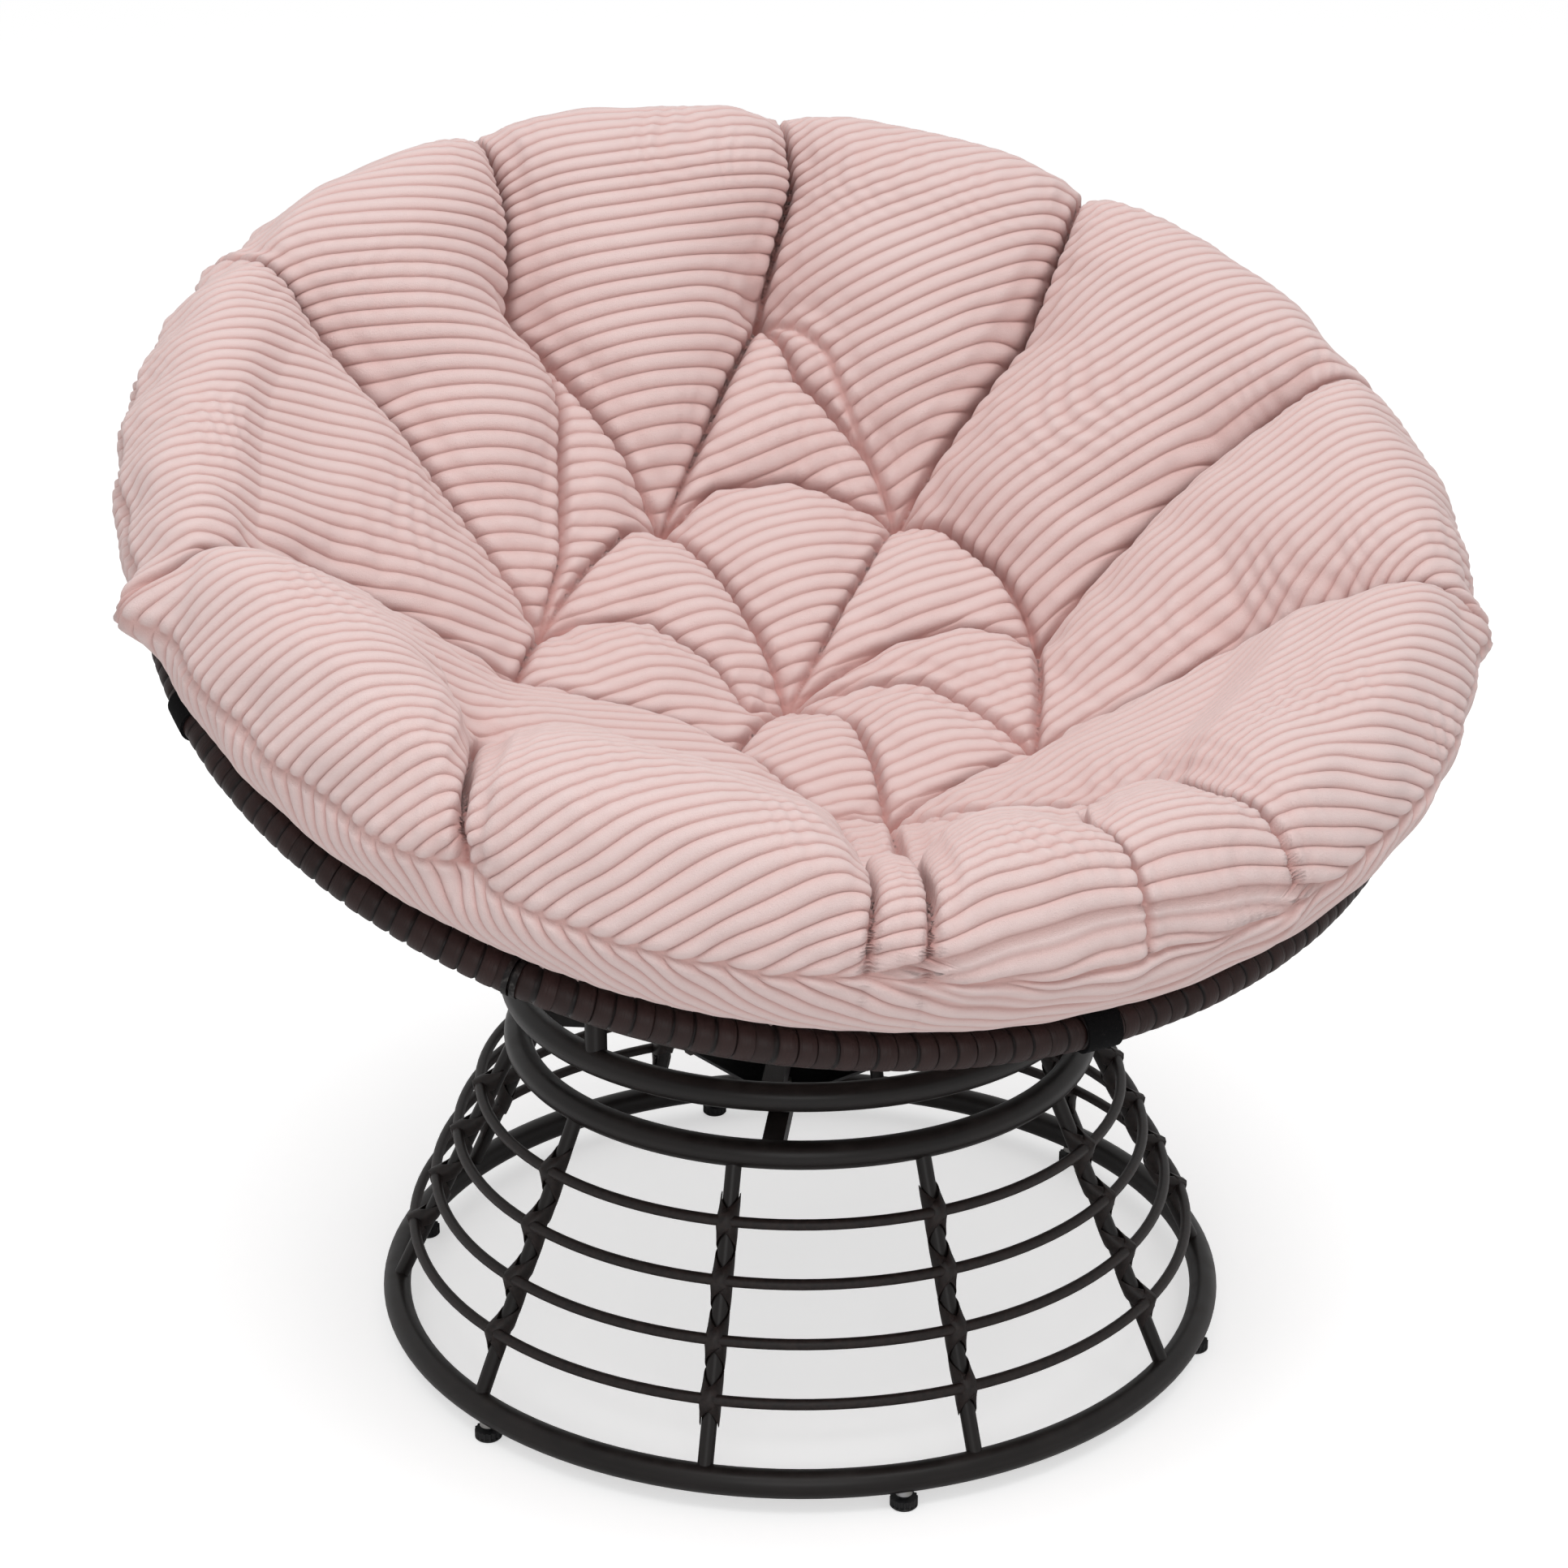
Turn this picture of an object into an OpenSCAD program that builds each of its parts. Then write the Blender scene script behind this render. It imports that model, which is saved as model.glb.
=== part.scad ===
// Swivel papasan lounge chair for a porch or patio.
// A tilted round bowl of steel rod and resin wicker turns on a caged ring base, with a tufted cushion.
// Origin: the floor, under the swivel axis. +Z is up, and the seat's low front edge faces -Y.

/* [Ground ring and levelling feet] */
// Radius of the ground ring, to the middle of its tube
ground_ring_r = 330; // [290:1:370]
// Tube diameter of the ground ring
ground_tube_d = 22; // [19:1:26]
// Number of levelling feet
foot_count = 6; // [3:1:8]
// Turn of the first foot from the front rib, in degrees
foot_phase = -10; // [-14:1:-8]
// Diameter of a foot's pad
foot_pad_d = 21; // [16:0.5:28]
// Height of a foot's pad
foot_pad_h = 8; // [6:0.5:12]
// Number of grip flutes round a pad
foot_flutes = 16; // [8:1:20]
// Diameter of a foot's stud
foot_stud_d = 8; // [6:0.5:9]
// Gap left between a pad and its insert when the foot is screwed home
foot_home_gap = 3; // [1:0.5:5]
// Travel of a foot out of its insert
foot_travel = 8; // [4:0.5:9]
// Outer diameter of a threaded insert
insert_d = 13; // [11:0.5:15]
// Height that an insert stands out under the ground ring
insert_lip = 2; // [1:0.5:4]
// Depth that an insert reaches above the ring's underside
insert_depth = 13; // [11:0.5:15]
// Length of stud left in its insert when the foot is screwed right out
stud_hold = 3.5; // [3:0.5:4]

/* [Base cage] */
// Radius of the cage's top ring, to the middle of its tube
top_ring_r = 226; // [200:1:250]
// Tube diameter of the cage's top ring
top_tube_d = 22; // [19:1:26]
// Height of the top ring above the ground ring, middle to middle
cage_h = 218.7; // [190:0.1:250]
// Number of upright rods round the cage
cage_rib_count = 10; // [8:1:12]
// Diameter of an upright rod
cage_rib_d = 12; // [8:0.5:14]
// Number of round wicker strands round the cage
cage_strand_count = 4; // [2:1:5]
// Diameter of a round wicker strand
cage_strand_d = 8.5; // [6:0.5:10]
// Height of the lowest strand above the ground ring's middle
cage_strand_first = 58; // [45:1:70]
// Height from one strand to the next
cage_strand_pitch = 39.7; // [30:0.1:42]
// Thickness of the wicker lashing round the rods
lashing_t = 2; // [1.5:0.1:3]
// Length that the lashing runs past the outer strands
lashing_end = 13; // [9:0.5:16]
// Width of a lashed knot along its strand
knot_w = 18; // [14:0.5:22]

/* [Swivel] */
// Width and height of the cross arms
arm_w = 16; // [12:0.5:18]
// Turn of the cross arms from the front, in degrees
arm_phase = -29; // [-33:1:-22]
// Height from the base's top ring to the seat ring, middle to middle
swivel_h = 49.1; // [46:0.1:60]
// Side of the square swivel plates
plate_w = 222; // [190:1:240]
// Corner radius of the swivel plates
plate_corner_r = 14; // [6:1:25]
// Sheet thickness of the swivel plates
plate_t = 2.5; // [2:0.1:3]
// Radius of the stamped drum where it leaves its plate
drum_foot_r = 64; // [58:1:75]
// Radius of the stamped drum at its race
drum_race_r = 56; // [52:1:57]
// Radius of the ring of balls
ball_ring_r = 44; // [38:1:47]
// Number of balls
ball_count = 24; // [8:1:32]
// Diameter of a ball
ball_d = 6; // [5:0.5:7]
// Height between the two races
race_gap = 3; // [2.4:0.1:3.6]
// Radius of the pivot's shank
pivot_r = 8; // [6:0.5:10]
// Radius of the pivot's head
pivot_head_r = 14; // [12:0.5:18]
// Thickness of the pivot's head and of its riveted end
pivot_head_t = 3; // [2:0.5:4]
// Distance of the plate bolts from the swivel axis
plate_bolt_r = 128; // [115:1:133]
// Diameter of a plate bolt
plate_bolt_d = 6; // [5:0.5:8]
// Radius of a plate bolt's head and of its nut
plate_bolt_head_r = 5.5; // [5:0.1:7]
// Height of a plate bolt's head and of its nut
plate_bolt_head_h = 4; // [3:0.5:6]

/* [Seat ring and posts] */
// Radius of the seat ring, to the middle of its tube
seat_ring_r = 228; // [205:1:250]
// Tube diameter of the seat ring
seat_tube_d = 22; // [19:1:26]
// Diameter of a post
post_d = 17; // [14:0.5:18]
// Turn of the front posts from the front, in degrees
front_post_turn = 66; // [65:1:69]
// Turn of the back posts from the front, in degrees
back_post_turn = 125; // [115:1:140]
// Turn of the front posts' tops on the tilted ring, in degrees
front_post_top_turn = 52; // [46:1:56]
// Turn of the back posts' tops on the tilted ring, in degrees
back_post_top_turn = 112; // [105:1:118]

/* [Bowl] */
// Height of the rim's centre above the floor
rim_z = 598; // [585:1:640]
// Distance of the rim's centre behind the swivel axis
rim_back = 17; // [0:1:30]
// Tilt of the bowl towards the front, in degrees
bowl_tilt = 21.5; // [15:0.5:24]
// Radius of the rim, to the middle of its tube
rim_r = 480; // [455:1:500]
// Tube diameter of the rim
rim_tube_d = 22; // [19:1:24]
// Depth of the bowl, from the rim's middle to its ribs at the centre
bowl_depth = 205; // [190:1:220]
// Number of ribs in the bowl
bowl_rib_count = 12; // [8:1:16]
// Diameter of a rib
bowl_rib_d = 10; // [8:0.5:12]
// Radius of the ring at the bottom of the bowl
hub_ring_r = 90; // [70:1:110]
// Rod diameter of the ring at the bottom of the bowl
hub_ring_d = 12; // [10:0.5:14]
// Radius of the tilted ring that carries the ribs
carrier_ring_r = 250; // [235:1:262]
// Tube diameter of the tilted ring
carrier_ring_d = 22; // [20:0.5:24]
// Number of places for strands up the bowl
bowl_strand_count = 8; // [5:1:8]
// Length along a rib from the bowl's centre to the first strand
bowl_strand_first = 140; // [125:1:160]
// Length along a rib from one strand to the next
bowl_strand_pitch = 50; // [42:1:52]
// Diameter of a strand in the bowl
bowl_strand_d = 8; // [6:0.5:9]

/* [Rim wrapping and joints] */
// Thickness of the flat wicker wound round the rim
wrap_t = 2.5; // [1.5:0.1:3]
// Turn of the joint between the half rims from the front, in degrees
rim_joint_turn = -45; // [-50:1:-40]
// Gap between the wound ends at a joint
rim_joint_gap = 2; // [1:0.5:4]
// Width of the metal band on each wound end
end_band_w = 4; // [3:0.5:8]
// Thickness of the metal band
end_band_t = 0.8; // [0.5:0.1:1.5]
// Diameter of the spigot inside a rim joint
spigot_d = 17; // [14:0.5:18]
// Length of the spigot on each side of a joint
spigot_l = 40; // [30:1:60]
// Distance of a rim bolt from its joint
rim_bolt_out = 22; // [16:1:30]
// Diameter of a rim bolt
rim_bolt_d = 6; // [5:0.5:8]
// Length of a rim bolt under its head
rim_bolt_l = 18; // [14:0.5:19]
// Radius of a rim bolt's head
rim_bolt_head_r = 5; // [4.5:0.1:7]
// Height of a rim bolt's head
rim_bolt_head_h = 3; // [2:0.5:5]

/* [Cushion] */
// Radius of the cushion to its border seam, on a lobe
cushion_r = 508; // [500:1:520]
// Height of the border seam above the rim's middle
cushion_edge_h = 92; // [80:1:98]
// Distance that the cushion's side stands out past its border seam
side_bulge = 5; // [2:1:10]
// Height of the side's widest place above the rim's middle
side_h = 68; // [60:1:75]
// Distance that the side turns in under its border seam, low down
side_tuck = 4; // [1:1:8]
// Height of that place above the rim's middle
side_tuck_h = 40; // [34:1:48]
// Depth of the middle button below the rim's middle
button_depth = 85; // [75:1:95]
// Height of the seams above the rim's middle where the lobes meet the rim
rim_seam_h = 108; // [98:1:116]
// Radius of the ring of seams round the middle
seam_ring_r = 215; // [195:1:235]
// Height that the inner wedges stand over their seams
wedge_crown = 22; // [12:1:30]
// Height that the outer lobes stand over their seams
lobe_crown = 87; // [70:1:95]
// Length that the seams draw the border in
border_draw = 14; // [6:1:20]

/* [Straps] */
// Number of straps that hold the cushion to the rim
strap_count = 4; // [2:1:6]
// Turn of the first strap from the front, in degrees
strap_phase = 4; // [0:1:8]
// Width of a strap
strap_w = 26; // [18:1:34]
// Thickness of a strap
strap_t = 2.4; // [1.5:0.1:3]

/* [Hidden] */
$fn = 72;
// Overrun of every cut
over = 1;
// Clearance between pieces that only touch
touch = 0.1;
// Running clearance, on the radius
running = 0.05;
// Clearance of a curved strand in its straight knot
strand_gap = 0.25;
// Gap that soft pieces keep from their neighbours
soft_gap = 0.35;
// Depth of a grip flute, and its radius
flute_depth = 1;
flute_r = 1.6;
// Bevel of a foot's pad
pad_bevel = 1.2;

// Turns of the cushion's outer seams from the front, anticlockwise from above, in degrees
lobe_seams = [19, 65, 97, 131, 162, 193, 220, 271, 310, 344, 379];
// Turns of the seams that part the inner wedges, in degrees
wedge_seams = [14, 55, 91, 134, 185, 245, 280, 325, 374];
// Steps round each lobe
lobe_steps = 6;
// Fullness of the lobes across, between their seams
pillow_power = 0.5;
// Steepness of the seam lines towards the rim
seam_power = 2;
// Radii of the cushion's upper rings inside the seam ring, as shares of its radius
wedge_ring_shares = [0.25, 0.58, 0.85];
// Radii of the cushion's upper rings from the seam ring to the border, as shares of the way
lobe_ring_shares = [0, 0.15, 0.3, 0.47, 0.62, 0.75, 0.87, 0.96];
// Height of a lobe over its seams at each of those rings, as shares of the crown
lobe_swell_shares = [0, 0.31, 0.57, 0.8, 0.98, 0.9, 0.48, 0.1];
// Radii of the cushion's lower rings inside the bowl, as shares of the rim's radius
low_ring_shares = [0.25, 0.6, 0.9];
// Places round the rim's tube that the cushion's underside passes, in degrees from the outside
rim_pass = [162, 110, 62];

insert_low_z = foot_pad_h + foot_home_gap;
ground_ring_z = insert_low_z + insert_lip + ground_tube_d / 2;
top_ring_z = ground_ring_z + cage_h;
seat_ring_z = top_ring_z + swivel_h;
cage_run = ground_ring_r - top_ring_r;
cage_lean = atan2(cage_run, cage_h);
rib_l = norm([cage_run, cage_h]);
strand_out = cage_rib_d / 2 + cage_strand_d / 2 + touch;
arm_top_z = top_ring_z + arm_w / 2;
seat_arm_low_z = seat_ring_z - arm_w / 2;
race_low_z = (arm_top_z + seat_arm_low_z) / 2 - race_gap / 2;
race_high_z = race_low_z + race_gap;
// Radius of the sphere that the bowl's ribs follow
dish_r = (rim_r * rim_r + bowl_depth * bowl_depth) / (2 * bowl_depth);
dish_z = dish_r - bowl_depth;
rib_low_turn = asin(hub_ring_r / dish_r);
rib_high_turn = asin(rim_r / dish_r);
wrap_r = rim_tube_d / 2 + wrap_t;
carrier_sphere_r = dish_r + bowl_rib_d / 2 + lashing_t + carrier_ring_d / 2 + touch;
carrier_turn = asin(carrier_ring_r / carrier_sphere_r);
carrier_z = dish_z - carrier_sphere_r * cos(carrier_turn);
bowl_strand_sphere_r = dish_r + bowl_rib_d / 2 + lashing_t + bowl_strand_d / 2 + touch;
carrier_arc = dish_r * carrier_turn * PI / 180;
bowl_strand_arcs = [
    for (k = [0 : bowl_strand_count - 1])
        let (arc = bowl_strand_first + k * bowl_strand_pitch)
        if (abs(arc - carrier_arc) > bowl_strand_pitch / 2)
            arc
];
seat_floor_r = dish_r - bowl_rib_d / 2 - lashing_t - soft_gap;
strap_outer_r = wrap_r + touch + strap_t;
rim_clear_r = strap_outer_r + soft_gap;

// Turn from the front, -Y, towards +X
module turn(a) {
    rotate([0, 0, a - 90]) children();
}

// Ring of round tube, lying flat
module ring_tube(r, d) {
    rotate_extrude() translate([r, 0]) circle(d = d);
}

// Part of a ring of round tube, from the X axis towards Y
module ring_part(r, d, angle) {
    rotate_extrude(angle = angle) translate([r, 0]) circle(d = d);
}

// Round rod from one point to another
module rod(from, to, d) {
    reach = to - from;
    lean = acos(reach[2] / norm(reach));
    translate(from)
        rotate([0, lean, atan2(reach[1], reach[0])])
            cylinder(h = norm(reach), d = d);
}

// The bowl's own frame: its rim lies in the XY plane, and its axis leans to the front
module in_bowl() {
    translate([0, rim_back, rim_z])
        rotate([bowl_tilt, 0, 0])
            children();
}

// A point of the bowl's frame, as a point of the chair
function bowl_point(p) = [
    p[0],
    rim_back + p[1] * cos(bowl_tilt) - p[2] * sin(bowl_tilt),
    rim_z + p[1] * sin(bowl_tilt) + p[2] * cos(bowl_tilt)
];

// A point at a turn from the front
function at_turn(r, a, z) = [r * sin(a), -r * cos(a), z];

// Levelling feet
module at_foot(k) {
    turn(foot_phase + k * 360 / foot_count)
        translate([ground_ring_r, 0, 0])
            children();
}

module foot_pad(k) {
    stud_top = insert_low_z + foot_travel + stud_hold;
    color([0.07, 0.07, 0.07])
        at_foot(k) {
            difference() {
                union() {
                    cylinder(h = pad_bevel, d1 = foot_pad_d - 2 * pad_bevel, d2 = foot_pad_d);
                    translate([0, 0, pad_bevel])
                        cylinder(h = foot_pad_h - pad_bevel, d = foot_pad_d);
                    cylinder(h = stud_top, d = foot_stud_d);
                }
                for (j = [0 : foot_flutes - 1])
                    rotate([0, 0, j * 360 / foot_flutes])
                        translate([foot_pad_d / 2 + flute_r - flute_depth, 0, 2 * pad_bevel])
                            cylinder(h = foot_pad_h, r = flute_r);
            }
        }
}

module insert_space() {
    for (k = [0 : foot_count - 1])
        at_foot(k)
            translate([0, 0, insert_low_z])
                cylinder(h = insert_lip + insert_depth, d = insert_d);
}

module foot_inserts() {
    color([0.5, 0.5, 0.5])
        difference() {
            insert_space();
            for (k = [0 : foot_count - 1])
                at_foot(k)
                    cylinder(h = ground_ring_z + ground_tube_d, d = foot_stud_d + 2 * running);
        }
}

// Ground ring, cage rods and top ring
module ground_ring() {
    color([0.13, 0.12, 0.12])
        difference() {
            translate([0, 0, ground_ring_z])
                ring_tube(ground_ring_r, ground_tube_d);
            insert_space();
        }
}

module at_cage_ribs() {
    for (k = [0 : cage_rib_count - 1])
        turn(k * 360 / cage_rib_count)
            translate([ground_ring_r, 0, ground_ring_z])
                rotate([0, -cage_lean, 0])
                    children();
}

module cage_ribs() {
    color([0.14, 0.12, 0.12])
        difference() {
            at_cage_ribs()
                cylinder(h = rib_l, d = cage_rib_d);
            translate([0, 0, ground_ring_z])
                ring_tube(ground_ring_r, ground_tube_d);
            translate([0, 0, top_ring_z])
                ring_tube(top_ring_r, top_tube_d);
        }
}

module cage_top_ring() {
    color([0.13, 0.12, 0.12])
        translate([0, 0, top_ring_z])
            ring_tube(top_ring_r, top_tube_d);
}

// Wicker of the cage: round strands outside the rods, lashed at every crossing
function strand_rise(k) = cage_strand_first + k * cage_strand_pitch;
function strand_r(k) = ground_ring_r - strand_rise(k) * tan(cage_lean) + strand_out / cos(cage_lean);
// Place up a rod where a strand crosses it
function strand_up(k) = strand_rise(k) / cos(cage_lean) - strand_out * tan(cage_lean);

module cage_strands() {
    color([0.17, 0.12, 0.11])
        for (k = [0 : cage_strand_count - 1])
            translate([0, 0, ground_ring_z + strand_rise(k)])
                ring_tube(strand_r(k), cage_strand_d);
}

// One rod's lashing, along the rod's own axis: a sleeve, with a knot round each strand
module rod_lashing() {
    low = strand_up(0) - lashing_end;
    high = strand_up(cage_strand_count - 1) + lashing_end;
    difference() {
        union() {
            translate([0, 0, low])
                cylinder(h = high - low, d = cage_rib_d + 2 * lashing_t);
            for (k = [0 : cage_strand_count - 1])
                translate([strand_out, 0, strand_up(k)])
                    rotate([90, 0, 0])
                        cylinder(h = knot_w, d = cage_strand_d + 2 * lashing_t, center = true);
        }
        cylinder(h = rib_l, d = cage_rib_d + 2 * touch);
        for (k = [0 : cage_strand_count - 1])
            translate([strand_out, 0, strand_up(k)])
                rotate([90, 0, 0])
                    cylinder(h = knot_w + 2 * over, d = cage_strand_d + 2 * strand_gap, center = true);
    }
}

module cage_lashing() {
    color([0.17, 0.12, 0.11])
        at_cage_ribs()
            rod_lashing();
}

// Cross arms, swivel plates, balls and pivot
module arm_cross(ring_r, z) {
    for (q = [0 : 1])
        turn(arm_phase + q * 90)
            translate([0, 0, z])
                cube([2 * ring_r, arm_w, arm_w], center = true);
}

module bolt_places() {
    for (q = [0 : 3])
        turn(arm_phase + q * 90)
            translate([plate_bolt_r, 0, 0])
                children();
}

module base_cross_arms() {
    color([0.12, 0.11, 0.11])
        difference() {
            arm_cross(top_ring_r, top_ring_z);
            translate([0, 0, top_ring_z])
                ring_tube(top_ring_r, top_tube_d);
            bolt_places()
                cylinder(h = arm_top_z + over, d = plate_bolt_d);
        }
}

module plate_sheet(z) {
    half = plate_w / 2 - plate_corner_r;
    translate([0, 0, z])
        turn(arm_phase + 45)
            linear_extrude(plate_t)
                union() {
                    square([plate_w, 2 * half], center = true);
                    square([2 * half, plate_w], center = true);
                    for (x = [-half, half], y = [-half, half])
                        translate([x, y])
                            circle(r = plate_corner_r);
                }
}

// Stamped drum: the sheet climbs from its plate to the race, as half a section
module drum(plate_z, race_z, side) {
    rotate_extrude()
        polygon([
            [drum_foot_r, plate_z],
            [drum_race_r, race_z],
            [pivot_r, race_z],
            [pivot_r, race_z - side * plate_t],
            [drum_race_r - plate_t, race_z - side * plate_t],
            [drum_foot_r - plate_t, plate_z]
        ]);
}

module ball_groove() {
    translate([0, 0, (race_low_z + race_high_z) / 2])
        ring_tube(ball_ring_r, ball_d + 2 * running);
}

module lower_swivel_plate() {
    color([0.05, 0.05, 0.05])
        difference() {
            union() {
                difference() {
                    plate_sheet(arm_top_z);
                    translate([0, 0, arm_top_z - over])
                        cylinder(h = plate_t + 2 * over, r = drum_foot_r - plate_t);
                }
                drum(arm_top_z, race_low_z, 1);
            }
            ball_groove();
            bolt_places()
                cylinder(h = arm_top_z + plate_t + over, d = plate_bolt_d);
        }
}

module upper_swivel_plate() {
    color([0.05, 0.05, 0.05])
        difference() {
            union() {
                difference() {
                    plate_sheet(seat_arm_low_z - plate_t);
                    translate([0, 0, seat_arm_low_z - plate_t - over])
                        cylinder(h = plate_t + 2 * over, r = drum_foot_r - plate_t);
                }
                drum(seat_arm_low_z, race_high_z, -1);
            }
            ball_groove();
            cylinder(h = seat_ring_z, r = pivot_r + running);
            bolt_places()
                cylinder(h = seat_ring_z, d = plate_bolt_d);
        }
}

module swivel_pivot() {
    color([0.45, 0.45, 0.46])
        union() {
            translate([0, 0, race_low_z - plate_t - pivot_head_t])
                cylinder(h = pivot_head_t, r = pivot_head_r);
            translate([0, 0, race_low_z - plate_t])
                cylinder(h = race_gap + 2 * plate_t + running, r = pivot_r);
            translate([0, 0, race_high_z + plate_t + running])
                cylinder(h = pivot_head_t, r = pivot_head_r);
        }
}

module swivel_balls() {
    color([0.6, 0.6, 0.62])
        for (k = [0 : ball_count - 1])
            rotate([0, 0, k * 360 / ball_count])
                translate([ball_ring_r, 0, (race_low_z + race_high_z) / 2])
                    sphere(d = ball_d);
}

// Bolt that clamps an arm to its plate: its head lies on the plate, its nut on the arm
module clamp_bolt(low, high) {
    translate([0, 0, low])
        cylinder(h = high - low, d = plate_bolt_d);
    translate([0, 0, high])
        cylinder(h = plate_bolt_head_h, r = plate_bolt_head_r);
    translate([0, 0, low - plate_bolt_head_h])
        cylinder(h = plate_bolt_head_h, r = plate_bolt_head_r, $fn = 6);
}

module lower_plate_bolts() {
    color([0.35, 0.35, 0.36])
        bolt_places()
            clamp_bolt(arm_top_z - arm_w, arm_top_z + plate_t);
}

module upper_plate_bolts() {
    color([0.35, 0.35, 0.36])
        bolt_places()
            clamp_bolt(seat_arm_low_z - plate_t, seat_arm_low_z + arm_w);
}

module seat_cross_arms() {
    color([0.12, 0.11, 0.11])
        difference() {
            arm_cross(seat_ring_r, seat_ring_z);
            translate([0, 0, seat_ring_z])
                ring_tube(seat_ring_r, seat_tube_d);
            bolt_places()
                translate([0, 0, seat_arm_low_z - over])
                    cylinder(h = arm_w + 2 * over, d = plate_bolt_d);
        }
}

module seat_ring() {
    color([0.13, 0.12, 0.12])
        translate([0, 0, seat_ring_z])
            ring_tube(seat_ring_r, seat_tube_d);
}

// Posts from the level seat ring to the tilted ring under the bowl
module seat_post(low_turn, top_turn) {
    rod(
        at_turn(seat_ring_r, low_turn, seat_ring_z),
        bowl_point(at_turn(carrier_ring_r, top_turn, carrier_z)),
        post_d
    );
}

module seat_posts() {
    color([0.13, 0.12, 0.12])
        difference() {
            for (side = [-1, 1]) {
                seat_post(side * front_post_turn, side * front_post_top_turn);
                seat_post(side * back_post_turn, side * back_post_top_turn);
            }
            translate([0, 0, seat_ring_z])
                ring_tube(seat_ring_r, seat_tube_d);
            in_bowl()
                translate([0, 0, carrier_z])
                    ring_tube(carrier_ring_r, carrier_ring_d);
        }
}

// Bowl: ribs on a sphere, from a small ring at the bottom to the rim
function arc_turn(l) = l / dish_r * 180 / PI;

module dish_arc(r, d, low, high) {
    translate([0, 0, dish_z])
        rotate([90, 0, 0])
            rotate([0, 0, low - 90])
                ring_part(r, d, high - low);
}

module bowl_rib_rods(grow, low) {
    for (k = [0 : bowl_rib_count - 1])
        turn(k * 360 / bowl_rib_count)
            dish_arc(dish_r, bowl_rib_d + grow, low, rib_high_turn);
}

module hub_ring_tube() {
    translate([0, 0, dish_z - dish_r * cos(rib_low_turn)])
        ring_tube(hub_ring_r, hub_ring_d);
}

module bowl_carrier_ring() {
    color([0.13, 0.12, 0.12])
        in_bowl()
            translate([0, 0, carrier_z])
                ring_tube(carrier_ring_r, carrier_ring_d);
}

module bowl_hub_ring() {
    color([0.13, 0.12, 0.12])
        in_bowl()
            hub_ring_tube();
}

module bowl_ribs() {
    color([0.14, 0.12, 0.12])
        in_bowl()
            difference() {
                bowl_rib_rods(0, rib_low_turn);
                hub_ring_tube();
                ring_tube(rim_r, rim_tube_d);
            }
}

module bowl_strands() {
    color([0.17, 0.12, 0.11])
        in_bowl()
            for (arc = bowl_strand_arcs)
                let (lean = arc_turn(arc))
                translate([0, 0, dish_z - bowl_strand_sphere_r * cos(lean)])
                    ring_tube(bowl_strand_sphere_r * sin(lean), bowl_strand_d);
}

module bowl_lashing() {
    low = arc_turn(bowl_strand_arcs[0] - lashing_end);
    high = arc_turn(bowl_strand_arcs[len(bowl_strand_arcs) - 1] + lashing_end);
    color([0.17, 0.12, 0.11])
        in_bowl()
            difference() {
                for (k = [0 : bowl_rib_count - 1])
                    turn(k * 360 / bowl_rib_count)
                        dish_arc(dish_r, bowl_rib_d + 2 * lashing_t, low, high);
                bowl_rib_rods(2 * touch, rib_low_turn);
            }
}

// Rim: two half rings of tube, joined by spigots and bolts, each wound with flat wicker
function rim_angle(l) = l / rim_r * 180 / PI;

module at_rim_joints() {
    for (q = [0 : 1])
        turn(rim_joint_turn + q * 180)
            children();
}

module rim_bolt_places() {
    at_rim_joints()
        for (side = [-1, 1])
            rotate([0, 0, side * rim_angle(rim_bolt_out)])
                translate([rim_r, 0, 0])
                    children();
}

module spigot_bars(d, l) {
    at_rim_joints()
        rotate([0, 0, -rim_angle(l)])
            ring_part(rim_r, d, 2 * rim_angle(l));
}

module rim_bolt_shanks() {
    rim_bolt_places()
        translate([0, 0, -rim_tube_d / 2])
            cylinder(h = rim_bolt_l, d = rim_bolt_d);
}

module half_rim_tube(side) {
    in_bowl()
        difference() {
            turn(rim_joint_turn + side * 180)
                ring_part(rim_r, rim_tube_d, 180);
            spigot_bars(spigot_d, spigot_l);
            rim_bolt_shanks();
        }
}

module rim_tube_left() {
    color([0.13, 0.12, 0.12]) half_rim_tube(1);
}

module rim_tube_right() {
    color([0.13, 0.12, 0.12]) half_rim_tube(0);
}

module half_rim_wrap(side) {
    in_bowl()
        difference() {
            turn(rim_joint_turn + side * 180)
                rotate([0, 0, rim_angle(rim_joint_gap / 2)])
                    ring_part(rim_r, 2 * wrap_r, 180 - rim_angle(rim_joint_gap));
            ring_tube(rim_r, rim_tube_d);
            bowl_rib_rods(2 * touch, rib_high_turn - rim_angle(2 * wrap_r));
            rim_bolt_places()
                translate([0, 0, -wrap_r - rim_bolt_head_h])
                    cylinder(h = wrap_r + rim_bolt_head_h, r = rim_bolt_head_r + touch);
        }
}

module rim_wrap_left() {
    color([0.18, 0.13, 0.12]) half_rim_wrap(1);
}

module rim_wrap_right() {
    color([0.18, 0.13, 0.12]) half_rim_wrap(0);
}

module rim_spigots() {
    color([0.4, 0.4, 0.41])
        in_bowl()
            difference() {
                spigot_bars(spigot_d, spigot_l);
                rim_bolt_shanks();
            }
}

module rim_end_bands() {
    color([0.42, 0.42, 0.43])
        in_bowl()
            difference() {
                at_rim_joints()
                    for (side = [0, 1])
                        mirror([0, side, 0])
                            rotate([0, 0, rim_angle(rim_joint_gap / 2)])
                                ring_part(rim_r, 2 * (wrap_r + touch + end_band_t), rim_angle(end_band_w));
                ring_tube(rim_r, 2 * (wrap_r + touch));
            }
}

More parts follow.
